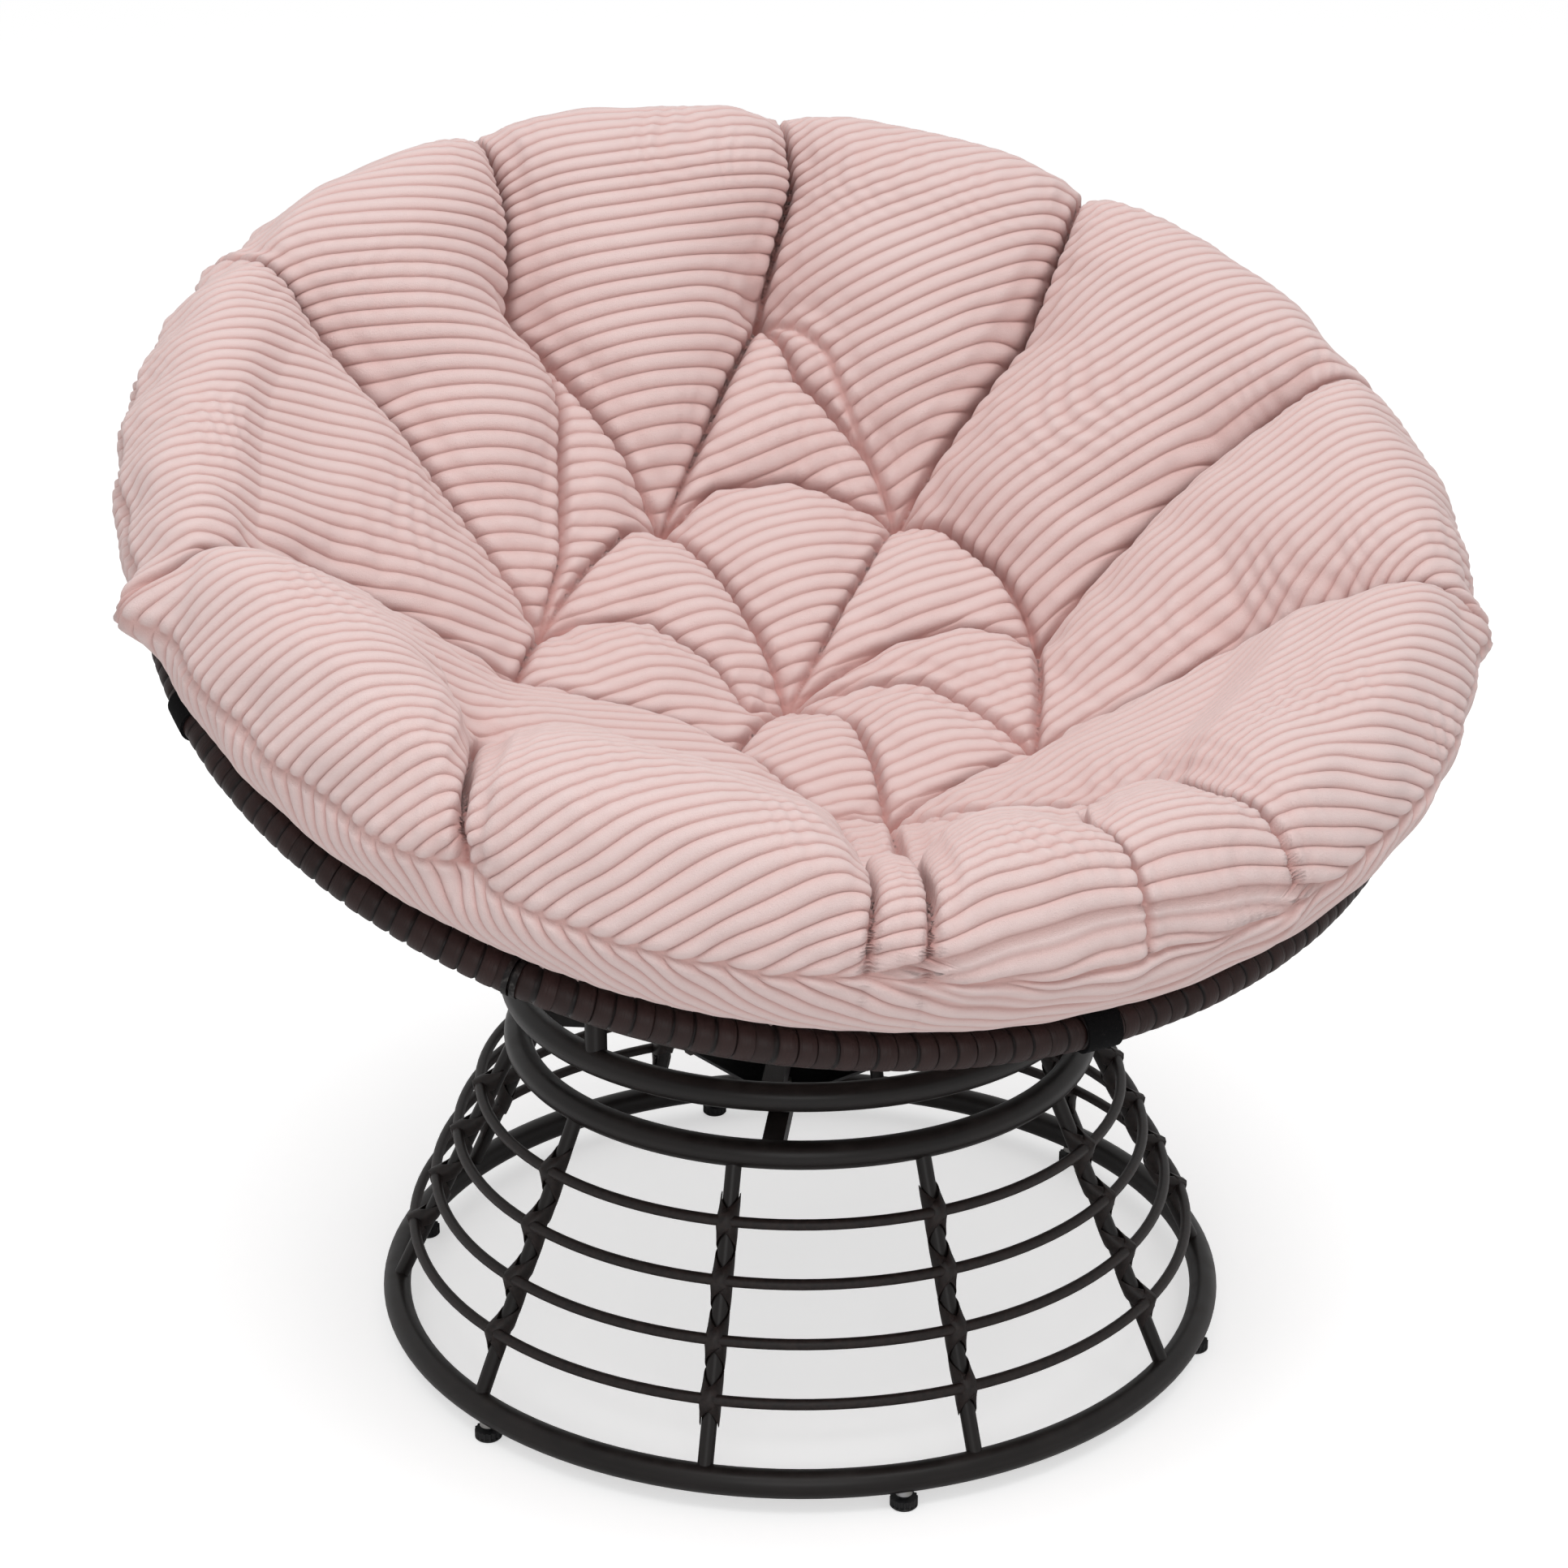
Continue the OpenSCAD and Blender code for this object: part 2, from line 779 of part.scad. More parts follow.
module rim_bolts() {
    color([0.4, 0.4, 0.41])
        in_bowl() {
            rim_bolt_shanks();
            rim_bolt_places()
                translate([0, 0, -rim_tube_d / 2 - rim_bolt_head_h])
                    cylinder(h = rim_bolt_head_h, r = rim_bolt_head_r);
        }
}

// Cushion: a closed skin of rings, with pillowed lobes between drawn-in seams
seam_turns = [
    for (k = [0 : len(lobe_seams) - 2], j = [0 : lobe_steps - 1])
        lobe_seams[k] + (lobe_seams[k + 1] - lobe_seams[k]) * j / lobe_steps
];
column_count = len(seam_turns);
// Share of the way between two seams, from a list of seams, for a turn
function between(seams, a) =
    let (t = a < seams[0] ? a + 360 : a)
    [for (k = [0 : len(seams) - 2])
        if (t >= seams[k] && t < seams[k + 1])
            (t - seams[k]) / (seams[k + 1] - seams[k])][0];
function puff(f) = pow(sin(180 * f), pillow_power);
function lobe_puff(a) = puff(between(lobe_seams, a));
function wedge_puff(a) = puff(between(wedge_seams, a));
function border_r(a) = cushion_r - border_draw * (1 - lobe_puff(a));
function bowl_floor_z(s) = dish_z - sqrt(seat_floor_r * seat_floor_r - s * s);
// Height of the seam lines: a dish from the button to the rim
function seam_z(s) = -button_depth + (rim_seam_h + button_depth) * pow(min(1, s / rim_r), seam_power);

function wedge_point(share, a) =
    let (s = share * seam_ring_r)
    at_turn(s, a, seam_z(s) + wedge_crown * wedge_puff(a) * sin(180 * share));
function lobe_point(k, a) =
    let (s = seam_ring_r + lobe_ring_shares[k] * (border_r(a) - seam_ring_r))
    at_turn(s, a, seam_z(s) + lobe_crown * lobe_puff(a) * lobe_swell_shares[k]);
function border_point(a) = at_turn(border_r(a), a, cushion_edge_h);
function side_point(a) = at_turn(border_r(a) + side_bulge, a, side_h);
function tuck_point(a) = at_turn(border_r(a) - side_tuck, a, side_tuck_h);
function rim_pass_point(pass, a) =
    let (reach = rim_clear_r / cos((rim_pass[0] - rim_pass[1]) / 2))
    at_turn(rim_r + reach * cos(pass), a, reach * sin(pass));
function floor_point(share, a) = at_turn(share * rim_r, a, bowl_floor_z(share * rim_r));

cushion_rings = concat(
    [for (share = wedge_ring_shares) [for (a = seam_turns) wedge_point(share, a)]],
    [for (k = [0 : len(lobe_ring_shares) - 1]) [for (a = seam_turns) lobe_point(k, a)]],
    [[for (a = seam_turns) border_point(a)]],
    [[for (a = seam_turns) side_point(a)]],
    [[for (a = seam_turns) tuck_point(a)]],
    [for (k = [len(rim_pass) - 1 : -1 : 0]) [for (a = seam_turns) rim_pass_point(rim_pass[k], a)]],
    [for (k = [len(low_ring_shares) - 1 : -1 : 0]) [for (a = seam_turns) floor_point(low_ring_shares[k], a)]]
);
ring_count = len(cushion_rings);
cushion_points = concat(
    [[0, 0, -button_depth]],
    [for (ring = cushion_rings, p = ring) p],
    [[0, 0, bowl_floor_z(0)]]
);
function point_at(ring, column) = 1 + ring * column_count + column % column_count;
cushion_faces = concat(
    [for (c = [0 : column_count - 1]) [0, point_at(0, c + 1), point_at(0, c)]],
    [for (r = [0 : ring_count - 2], c = [0 : column_count - 1])
        [point_at(r, c), point_at(r, c + 1), point_at(r + 1, c)]],
    [for (r = [0 : ring_count - 2], c = [0 : column_count - 1])
        [point_at(r, c + 1), point_at(r + 1, c + 1), point_at(r + 1, c)]],
    [for (c = [0 : column_count - 1])
        [1 + ring_count * column_count, point_at(ring_count - 1, c), point_at(ring_count - 1, c + 1)]]
);

module cushion() {
    color([0.87, 0.7, 0.68])
        in_bowl()
            polyhedron(cushion_points, cushion_faces);
}

// Straps: soft loops round the wound rim
module cushion_straps() {
    color([0.03, 0.03, 0.03])
        in_bowl()
            for (k = [0 : strap_count - 1])
                turn(strap_phase + k * 360 / strap_count)
                    rotate([0, 0, -rim_angle(strap_w / 2)])
                        rotate_extrude(angle = rim_angle(strap_w))
                            translate([rim_r, 0])
                                difference() {
                                    circle(r = strap_outer_r);
                                    circle(r = wrap_r + touch);
                                }
}

foot_pad(0);  // foot_pads_a
foot_pad(1);  // foot_pads_b
foot_pad(2);  // foot_pads_c
foot_pad(3);  // foot_pads_d
foot_pad(4);  // foot_pads_e
foot_pad(5);  // foot_pads_f
foot_inserts();
ground_ring();
cage_ribs();
cage_top_ring();
cage_strands();
cage_lashing();
base_cross_arms();
lower_swivel_plate();
lower_plate_bolts();
swivel_pivot();
swivel_balls();
upper_swivel_plate();
upper_plate_bolts();
seat_cross_arms();
seat_ring();
seat_posts();
bowl_carrier_ring();
bowl_hub_ring();
bowl_ribs();
bowl_strands();
bowl_lashing();
rim_tube_left();
rim_tube_right();
rim_wrap_left();
rim_wrap_right();
rim_spigots();
rim_end_bands();
rim_bolts();
cushion();
cushion_straps();
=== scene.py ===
import bpy
import numpy as np
from math import cos, pi, radians, sin
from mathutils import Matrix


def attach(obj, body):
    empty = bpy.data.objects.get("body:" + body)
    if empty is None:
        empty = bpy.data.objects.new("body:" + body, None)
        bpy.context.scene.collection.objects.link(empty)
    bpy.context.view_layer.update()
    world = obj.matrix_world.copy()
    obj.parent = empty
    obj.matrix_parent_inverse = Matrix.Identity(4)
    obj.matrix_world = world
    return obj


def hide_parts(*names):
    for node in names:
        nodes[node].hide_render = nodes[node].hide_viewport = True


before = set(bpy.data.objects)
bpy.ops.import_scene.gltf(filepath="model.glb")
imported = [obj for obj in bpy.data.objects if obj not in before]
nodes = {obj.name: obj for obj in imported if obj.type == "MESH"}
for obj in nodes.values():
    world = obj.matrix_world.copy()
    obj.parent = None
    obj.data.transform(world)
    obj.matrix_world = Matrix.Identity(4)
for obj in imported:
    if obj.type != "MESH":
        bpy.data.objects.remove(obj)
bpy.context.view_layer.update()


# Levelling feet
# Six moulded glides of black nylon with fluted sides. Each turns on a steel stud in a threaded insert that
# is pressed into the ground ring. The moulding is matt, with a fine grain and pale scuffs low down.
class Link:
    """One output of a shader tree. + - * ** on it add Math nodes, and node() adds any other kind."""

    def __init__(self, tree, socket=None):
        self.tree, self.socket = tree, socket

    def node(self, kind, settings, sockets, out=0):
        """Adds a node: its settings first, then a value or a Link for each socket. The Link that it gives
        is to the node's output of that number or name."""
        n = self.tree.nodes.new(kind)
        for name, value in settings.items():
            setattr(n, name, value)
        for name, value in sockets.items():
            if isinstance(value, Link):
                self.tree.links.new(value.socket, n.inputs[name])
            else:
                n.inputs[name].default_value = value
        return Link(self.tree, n.outputs[out] if len(n.outputs) else None)

    def math(self, operation, a, b):
        """A Math node on a and b, each a number or a Link."""
        return self.node("ShaderNodeMath", {"operation": operation}, {0: a, 1: b})

    def __add__(self, other):
        return self.math("ADD", self, other)

    def __sub__(self, other):
        return self.math("SUBTRACT", self, other)

    def __rsub__(self, other):
        return self.math("SUBTRACT", other, self)

    def __mul__(self, other):
        return self.math("MULTIPLY", self, other)

    def __pow__(self, other):
        return self.math("POWER", self, other)

    __radd__, __rmul__ = __add__, __mul__

    def blend(self, low, high):
        """The colour low where this value is 0, and high where it is 1. A Mix node takes its two colours at
        sockets 6 and 7, and gives the mixed one at output 2."""
        return self.node("ShaderNodeMix", {"data_type": "RGBA"}, {0: self, 6: low, 7: high}, out=2)

    def bump(self, height, depth):
        """The surface's normal over a relief of this height, 0 to 1, that is depth metres deep."""
        return self.node("ShaderNodeBump", {}, {"Strength": 1.0, "Distance": depth, "Height": height})

    def noise(self, place, scale, detail):
        """Soft noise from 0 to 1, with about scale lumps a metre, and detail layers of finer ones."""
        return self.node("ShaderNodeTexNoise", {}, {"Vector": place, "Scale": scale, "Detail": detail})

    def step(self, low, high):
        """0 where this value is under low, 1 where it is over high, and smooth between."""
        return self.node("ShaderNodeMapRange", {"interpolation_type": "SMOOTHSTEP"},
                         {"Value": self, "From Min": low, "From Max": high})

    def upward(self, vector):
        """The Z part of a vector."""
        return self.node("ShaderNodeSeparateXYZ", {}, {"Vector": vector}, out="Z")

    def written(self, name):
        """The value that is written at each point of the mesh under this name."""
        return self.node("ShaderNodeAttribute", {"attribute_name": name}, {}, out="Fac")


def new_finish(name):
    """An empty material of that name, with a Link to its tree and its Object coordinates."""
    material = bpy.data.materials.new(name)
    material.use_nodes = True
    material.node_tree.nodes.clear()
    tree = Link(material.node_tree)
    return material, tree, tree.node("ShaderNodeTexCoord", {}, {}, out="Object")


def close_finish(tree, sockets):
    """Puts a Principled surface with these sockets on the tree's output."""
    skin = tree.node("ShaderNodeBsdfPrincipled", {}, sockets)
    tree.node("ShaderNodeOutputMaterial", {}, {"Surface": skin})


def dress(material, *names):
    """Gives CAD nodes this material in place of their own."""
    for name in names:
        nodes[name].data.materials.clear()
        nodes[name].data.materials.append(material)


nylon_black, scuff_grey = (0.008, 0.008, 0.009, 1), (0.07, 0.066, 0.06, 1)
scuffs_full_to, scuffs_end_at = 0.001, 0.006
nylon, tree, place = new_finish("moulded_nylon")
grain = tree.noise(place, scale=1400, detail=3)
low_down = 1.0 - tree.upward(place).step(scuffs_full_to, scuffs_end_at)
scuffs = tree.noise(place, scale=160, detail=4).step(0.52, 0.72) * low_down
close_finish(tree, {
    "Base Color": (scuffs * 0.7).blend(nylon_black, scuff_grey),
    "Roughness": 0.48 + 0.2 * grain + 0.15 * scuffs,
    "Normal": tree.bump(grain, depth=0.0001)})
dress(nylon, *("foot_pads_" + letter for letter in "abcdef"))

# Inserts, spigots and fasteners are zinc-plated steel, with a blotchy passivation and fine scratches
zinc_dull, zinc_bright = (0.42, 0.41, 0.38, 1), (0.58, 0.58, 0.6, 1)
plated, tree, place = new_finish("zinc_plated_steel")
blotches = tree.noise(place, scale=90, detail=4)
scratches = tree.noise(place, scale=2600, detail=1)
close_finish(tree, {
    "Base Color": blotches.step(0.35, 0.7).blend(zinc_dull, zinc_bright),
    "Metallic": 1.0,
    "Roughness": 0.26 + 0.16 * blotches + 0.08 * scratches,
    "Normal": tree.bump(scratches, depth=0.00003)})
dress(plated, "foot_inserts", "rim_spigots", "lower_plate_bolts", "upper_plate_bolts", "swivel_pivot")

# The end bands and bolts of the rim's joints are blackened steel, to match the frame
oxide_black, worn_grey = (0.03, 0.028, 0.028, 1), (0.11, 0.105, 0.1, 1)
blackened, tree, place = new_finish("blackened_steel")
wear = tree.noise(place, scale=240, detail=4)
close_finish(tree, {
    "Base Color": wear.step(0.45, 0.8).blend(oxide_black, worn_grey),
    "Metallic": 1.0,
    "Roughness": 0.34 + 0.2 * wear,
    "Normal": tree.bump(wear, depth=0.00005)})
dress(blackened, "rim_bolts", "rim_end_bands")


# Steel frame
# Rings, rods, arms and posts of mild steel, welded and then powder coated near-black brown. The coat has a
# fine orange peel, is a little cloudy, and holds some dust where it faces up.
coat_dark, coat_brown = (0.008, 0.0062, 0.0058, 1), (0.012, 0.0092, 0.0086, 1)
coat_dust = (0.03, 0.025, 0.023, 1)
powder, tree, place = new_finish("powder_coated_steel")
peel = tree.noise(place, scale=900, detail=2)
clouds = tree.noise(place, scale=14, detail=3)
facing_up = tree.upward(tree.node("ShaderNodeNewGeometry", {}, {}, out="Normal"))
dust = facing_up.step(0.35, 1.0) * tree.noise(place, scale=55, detail=4).step(0.35, 0.75)
close_finish(tree, {
    "Base Color": (dust * 0.5).blend(clouds.step(0.3, 0.7).blend(coat_dark, coat_brown), coat_dust),
    "Roughness": 0.3 + 0.12 * clouds + 0.14 * dust,
    "Specular IOR Level": 0.34,
    "Normal": tree.bump(peel, depth=0.00006)})
dress(powder, "ground_ring", "cage_ribs", "cage_top_ring", "base_cross_arms", "seat_cross_arms", "seat_ring",
      "seat_posts", "bowl_carrier_ring", "bowl_hub_ring", "bowl_ribs", "rim_tube_left", "rim_tube_right")


# Swivel
# Two pressed steel plates, dipped black, with a ball race between them and a rivet through the middle. The
# dip leaves soft runs.
dip_dark, dip_pale = (0.007, 0.007, 0.0075, 1), (0.016, 0.016, 0.0165, 1)
dipped, tree, place = new_finish("black_dipped_steel")
runs = tree.noise(place, scale=40, detail=5)
close_finish(tree, {
    "Base Color": runs.step(0.35, 0.75).blend(dip_dark, dip_pale),
    "Roughness": 0.3 + 0.22 * runs,
    "Normal": tree.bump(runs, depth=0.0002)})
dress(dipped, "lower_swivel_plate", "upper_swivel_plate")

# The balls are ground bearing steel under a film of grease
ground_bright, grease_brown = (0.62, 0.62, 0.64, 1), (0.38, 0.33, 0.22, 1)
ball_steel, tree, place = new_finish("ground_ball_steel")
grease = tree.noise(place, scale=260, detail=3)
close_finish(tree, {
    "Base Color": grease.step(0.4, 0.7).blend(ground_bright, grease_brown),
    "Metallic": 1.0,
    "Roughness": 0.08 + 0.22 * grease})
dress(ball_steel, "swivel_balls")


# Wicker strands
# Extruded resin in dark brown: round strands bent into rings, outside the rods of the cage and the ribs of
# the bowl. The die leaves a fine relief, and the colour is streaked like peeled cane.
cane_dark, cane_brown = (0.009, 0.0058, 0.0052, 1), (0.021, 0.013, 0.0115, 1)
wicker, tree, place = new_finish("resin_wicker")
streaks = tree.noise(place, scale=220, detail=4)
fine = tree.noise(place, scale=1500, detail=2)
close_finish(tree, {
    "Base Color": streaks.step(0.3, 0.72).blend(cane_dark, cane_brown),
    "Roughness": 0.36 + 0.2 * streaks,
    "Specular IOR Level": 0.36,
    "Normal": tree.bump(fine * 0.5 + streaks * 0.5, depth=0.0002)})
dress(wicker, "cage_strands", "bowl_strands")


# Lacing
# Flat resin strip, 13 mm wide, laced in figures of eight up each rod: two strips wind round it in opposite
# directions, cross over every strand in front, cross again behind, and leave a small diamond bare between.
def new_piece(name, points, faces, material):
    """A smooth mesh object of those points and faces, at the origin, with its material."""
    mesh = bpy.data.meshes.new(name)
    mesh.from_pydata(np.asarray(points).reshape(-1, 3).tolist(), [], faces)
    mesh.polygons.foreach_set("use_smooth", np.ones(len(mesh.polygons), bool))
    mesh.materials.append(material)
    piece = bpy.data.objects.new(name, mesh)
    bpy.context.scene.collection.objects.link(piece)
    return piece


def tube_faces(stations, sides, count=1):
    """Faces of count tubes whose points are a grid of stations by sides, closed by a fan at both ends."""
    at = np.arange(stations * sides).reshape(stations, sides)
    near, far = at[:-1], at[1:]
    quads = np.stack([near, np.roll(near, -1, 1), np.roll(far, -1, 1), far], -1).reshape(-1, 4)
    caps = [at[0, ::-1], at[-1]]
    steps = np.arange(count) * stations * sides
    faces = (quads[None] + steps[:, None, None]).reshape(-1, 4).tolist()
    return faces + [(cap + step).tolist() for step in steps for cap in caps]


# The strip's section: shares of its half reach along the rod, which it climbs at about 45 degrees, and of
# its thickness
strip_half, strip_t = 0.0093, 0.0009
strip_edge = np.array([(-1, 0), (-0.92, 0.5), (0, 0.75), (0.92, 0.5), (1, 0), (0.92, -0.5), (0, -0.6),
                       (-0.92, -0.5)])
# How high its middle lies on the rod and on a strand, and how far the two strips part where they cross
on_rod, on_strand, parting = 0.0011, 0.0004, 0.0003
# How far a hump over a strand reaches along the rod, and round it in radians
hump_along, hump_round = 0.0085, 0.85
rows_per_turn = 26


def lacing(axis, rod_r, strand_back, low, high, first, pitch, strands):
    """Points of both strips on one rod: at length s they stand at angle +/- 2 pi (s - first) / pitch, half a
    strip wide to each side, on the rod's skin, humped over the back of each strand that is in front."""
    s = np.linspace(low, high, int((high - low) / pitch * rows_per_turn))[:, None]
    points = []
    for hand in (1, -1):
        angle = hand * 2 * pi * (s - first) / pitch
        z = s + strip_edge[None, :, 0] * strip_half
        hump = np.max([np.exp(-((z - strand) / hump_along) ** 2) for strand in strands], axis=0)
        hump = hump * np.exp(-((np.mod(angle + pi, 2 * pi) - pi) / hump_round) ** 2)
        r = (rod_r + on_rod + strip_edge[None, :, 1] * strip_t + hand * parting * np.cos(angle)
             + hump * (strand_back - rod_r + on_strand))
        middle, out, side = axis(z)
        points.append(middle + r[..., None] * (np.cos(angle)[..., None] * out
                                               + np.sin(angle)[..., None] * side))
    return points


def turned(turn):
    """The direction, level and outward, at this turn in degrees from the front, anticlockwise from above."""
    return np.array([sin(radians(turn)), -cos(radians(turn)), 0.0])


# The cage's rods: how many and how thick, their foot's radius and height on the ground ring, and how far they
# lean in over their height
cage_rods, cage_rod_r = 10, 0.006
cage_foot_r, cage_foot_z = 0.33, 0.024
cage_run, cage_h = 0.104, 0.2187
up = np.array([0.0, 0.0, 1.0])
lean = np.arctan2(cage_run, cage_h)


def cage_rod(turn):
    """A straight rod of the cage by its length from the ground ring up: out is away from the middle."""
    e = turned(turn)
    along, out = cos(lean) * up - sin(lean) * e, cos(lean) * e + sin(lean) * up
    foot = cage_foot_r * e + cage_foot_z * up
    return lambda z: (foot + z[..., None] * along, out, np.cross(along, out))


# The cage's strands: the first one's height over the ring, their pitch and number, how far outside a rod's
# middle they lie, and how far out their backs are. The lacing runs on past the first and the last.
strand_first, strand_pitch, strand_count = 0.058, 0.0397, 4
strand_out, cage_strand_back = 0.0103, 0.0152
lacing_end = 0.012
strand_heights = strand_first + strand_pitch * np.arange(strand_count)
cage_strands_up = strand_heights / cos(lean) - strand_out * np.tan(lean)
points = []
for k in range(cage_rods):
    points += lacing(cage_rod(360 / cage_rods * k), cage_rod_r, cage_strand_back,
                     cage_strands_up[0] - lacing_end, cage_strands_up[-1] + lacing_end, cage_strands_up[0],
                     cage_strands_up[1] - cage_strands_up[0], cage_strands_up)
cage_lacing = new_piece("cage_lacing", points, tube_faces(len(points[0]), len(strip_edge), len(points)),
                        wicker)
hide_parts("cage_lashing")
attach(cage_lacing, "base")

# The bowl's ribs are laced in the same way, along their arcs. The bowl is part of a sphere, tilted back.
rim_middle = np.array([0, 0.017, 0.598])
bowl_tilt = radians(21.5)
dish_r, dish_depth = 0.66445, 0.205
bowl_rib_count, bowl_rib_r = 12, 0.005
# Lengths of arc from the bottom: the bowl's strands, and where its lacing begins and ends
bowl_strand_arcs = np.array([0.14, 0.19, 0.29, 0.34, 0.39, 0.44, 0.49])
bowl_lacing_low, bowl_lacing_high, bowl_lacing_pitch = 0.128, 0.5, 0.05
bowl_strand_back = 0.0153


def in_bowl(x, y, h):
    """Row points of bowl points: turned by the bowl's tilt about X, then moved to the rim's middle."""
    return np.stack([x, y * cos(bowl_tilt) - h * sin(bowl_tilt),
                     y * sin(bowl_tilt) + h * cos(bowl_tilt)], -1) + rim_middle


def bowl_rib(turn):
    """A rib on the bowl's sphere, by the length of its arc from the bottom: out is away from the middle."""
    e = turned(turn)

    def axis(z):
        swing = (z / dish_r)[..., None]
        out = np.sin(swing) * e - np.cos(swing) * up
        side = np.cross(np.cos(swing) * e + np.sin(swing) * up, out)
        return (dish_r - dish_depth) * up + dish_r * out, out, side
    return axis


points = []
for k in range(bowl_rib_count):
    points += lacing(bowl_rib(360 / bowl_rib_count * k), bowl_rib_r, bowl_strand_back, bowl_lacing_low,
                     bowl_lacing_high, bowl_strand_arcs[0], bowl_lacing_pitch, bowl_strand_arcs)
points = np.array(points)
bowl_lacing = new_piece("bowl_lacing", in_bowl(points[..., 0], points[..., 1], points[..., 2]),
                        tube_faces(points.shape[1], len(strip_edge), len(points)), wicker)
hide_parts("bowl_lashing")
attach(bowl_lacing, "seat")


# Rim winding
# Each half of the rim's tube is wound with flat resin strip, edge to edge at a slight slant. Each turn lies a
# little crowned, with painted shade dark towards its edges and black in the gap to the next, and the strip's
# lines run round the tube.
def write_values(piece, name, values):
    """Writes a value at each point of a piece's mesh, under this name, for its material."""
    piece.data.attributes.new(name, "FLOAT", "POINT").data.foreach_set("value", values)


# The first colour is painted shade: near black, where little light gets into the gap between turns.
painted_gap_shade, strip_brown = (0.002, 0.0012, 0.0011, 1), (0.034, 0.015, 0.0135, 1)
wound, tree, place = new_finish("wound_wicker")
grooves = tree.node("ShaderNodeTexNoise", {"noise_dimensions": "1D"},
                    {"W": tree.written("across"), "Scale": 9.0, "Detail": 3.0})
clouds = tree.noise(place, scale=120, detail=3)
brown = 0.35 + 0.3 * tree.written("tone") + 0.25 * clouds + 0.2 * grooves
close_finish(tree, {
    # Painted shade: each turn darkens towards its edges and to near black in the gaps.
    "Base Color": (tree.written("shade") * brown).blend(painted_gap_shade, strip_brown),
    "Roughness": 0.36 + 0.2 * clouds,
    "Specular IOR Level": 0.28,
    "Normal": tree.bump(grooves, depth=0.0003)})

rim_r, end_gap = 0.48, 0.0012
wind_pitch, wind_sides = 0.0135, 28
# Each turn lies aslant: at this angle round the tube it is on by this share of a turn, and back opposite
slant, slant_at = 0.3, 0.6
# How much the turns differ in place, as a share of a turn, and in radius
place_spread, radius_spread = 0.22, 0.0004
# Across one turn, by shares of its pitch: the winding's radius, and how much light gets there
strip_shares = np.array([0, 0.03, 0.09, 0.3, 0.6, 0.88, 0.97])
strip_radii = np.array([0.0114, 0.0125, 0.01315, 0.0135, 0.0136, 0.0134, 0.0126])
strip_shades = np.array([0, 0.35, 0.9, 1, 1, 0.9, 0.35])
for side, start in (("left", 135), ("right", -45)):
    gap = np.degrees(end_gap / rim_r)
    span = 180 - 2 * gap
    turns = int(rim_r * radians(span) / wind_pitch)
    number = np.repeat(np.arange(-1, turns + 1), strip_shares.size)[:, None]
    # A scrambled value from 0 to 1 for each turn, the same in every run
    tone = np.mod(np.sin(number * 12.9898) * 43758.5453, 1.0)
    angle = np.linspace(0, 2 * pi, wind_sides, endpoint=False)[None, :]
    share = np.tile(strip_shares, turns + 2)[:, None] + place_spread * (tone - 0.5)
    bearing = start + gap + (number + share + slant * np.cos(angle - slant_at)) * span / turns
    bearing = np.clip(bearing, start + gap, start + 180 - gap)
    r = np.tile(strip_radii, turns + 2)[:, None] + radius_spread * (tone - 0.5) + np.zeros(angle.shape)
    r[[0, -1]] = 0.0
    ring = rim_r + r * np.cos(angle)
    points = in_bowl(ring * np.sin(np.radians(bearing)), -ring * np.cos(np.radians(bearing)),
                     r * np.sin(angle))
    winding = new_piece("rim_winding_" + side, points, tube_faces(len(bearing), wind_sides), wound)
    for name, value in (("across", number + share), ("tone", tone),
                        ("shade", np.tile(strip_shades, turns + 2)[:, None])):
        write_values(winding, name, np.broadcast_to(value, bearing.shape).ravel())
    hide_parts("rim_wrap_" + side)
    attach(winding, "seat")


# Cushion
# One big round cushion of polyester plush with broad corduroy wales, filled with fibre. The top cover is a
# flat disc whose seams are stitched through to the back: a middle button, a ring of seams round it with
# wedges inside, and long seams from the ring to the border, which gather the cover into fat lobes.
def smooth(x, xs, ys):
    """A cubic through the stations (xs, ys), whose slope at each is that of its neighbours."""
    xs, ys = np.asarray(xs, float), np.asarray(ys, float)
    slope = np.gradient(ys, xs)
    k = np.clip(np.searchsorted(xs, x) - 1, 0, len(xs) - 2)
    w = xs[k + 1] - xs[k]
    t = (x - xs[k]) / w
    return ((2 * t**3 - 3 * t**2 + 1) * ys[k] + (t**3 - 2 * t**2 + t) * w * slope[k]
            + (3 * t**2 - 2 * t**3) * ys[k + 1] + (t**3 - t**2) * w * slope[k + 1])


# Stations of the cover's meridian, in millimetres: length along the flat cover from the button, then radius
# and height over the rim of a lobe's back, and of a seam
top_stations = np.array([
    (0, 0, -50, 0, -90), (60, 58, -46, 60, -86), (120, 116, -39, 120, -76), (180, 171, -25, 180, -62),
    (225, 210, 0, 225, -47), (271, 249, 27, 272, -27), (334, 299, 62, 331, 3), (385, 339, 89, 378, 32),
    (438, 380, 115, 420, 61), (480, 409, 134, 444, 79), (507, 431, 144, 452, 88), (540, 460, 146, 466, 97),
    (575, 490, 123, 480, 106), (599, 504, 103, 493, 101), (610, 508, 92, 499, 90)]) / 1000
flat_r = top_stations[-1, 0]
# The same of the underside, from the middle of the bowl's floor up over the rim to the border
low_stations = np.array([
    (0, 0, -196, 0, -196), (120, 119, -185, 119, -185), (240, 235, -152, 235, -152),
    (340, 325, -110, 325, -110), (430, 399, -61, 399, -61), (503, 453, -10, 453, -10), (525, 462, 7, 462, 7),
    (539, 471, 18, 471, 18), (552, 484, 27, 482, 27), (568, 495, 39, 490, 38), (587, 505, 55, 497, 53),
    (611, 511, 76, 502, 73), (632, 508, 92, 499, 90)]) / 1000
low_flat_r = low_stations[-1, 0]

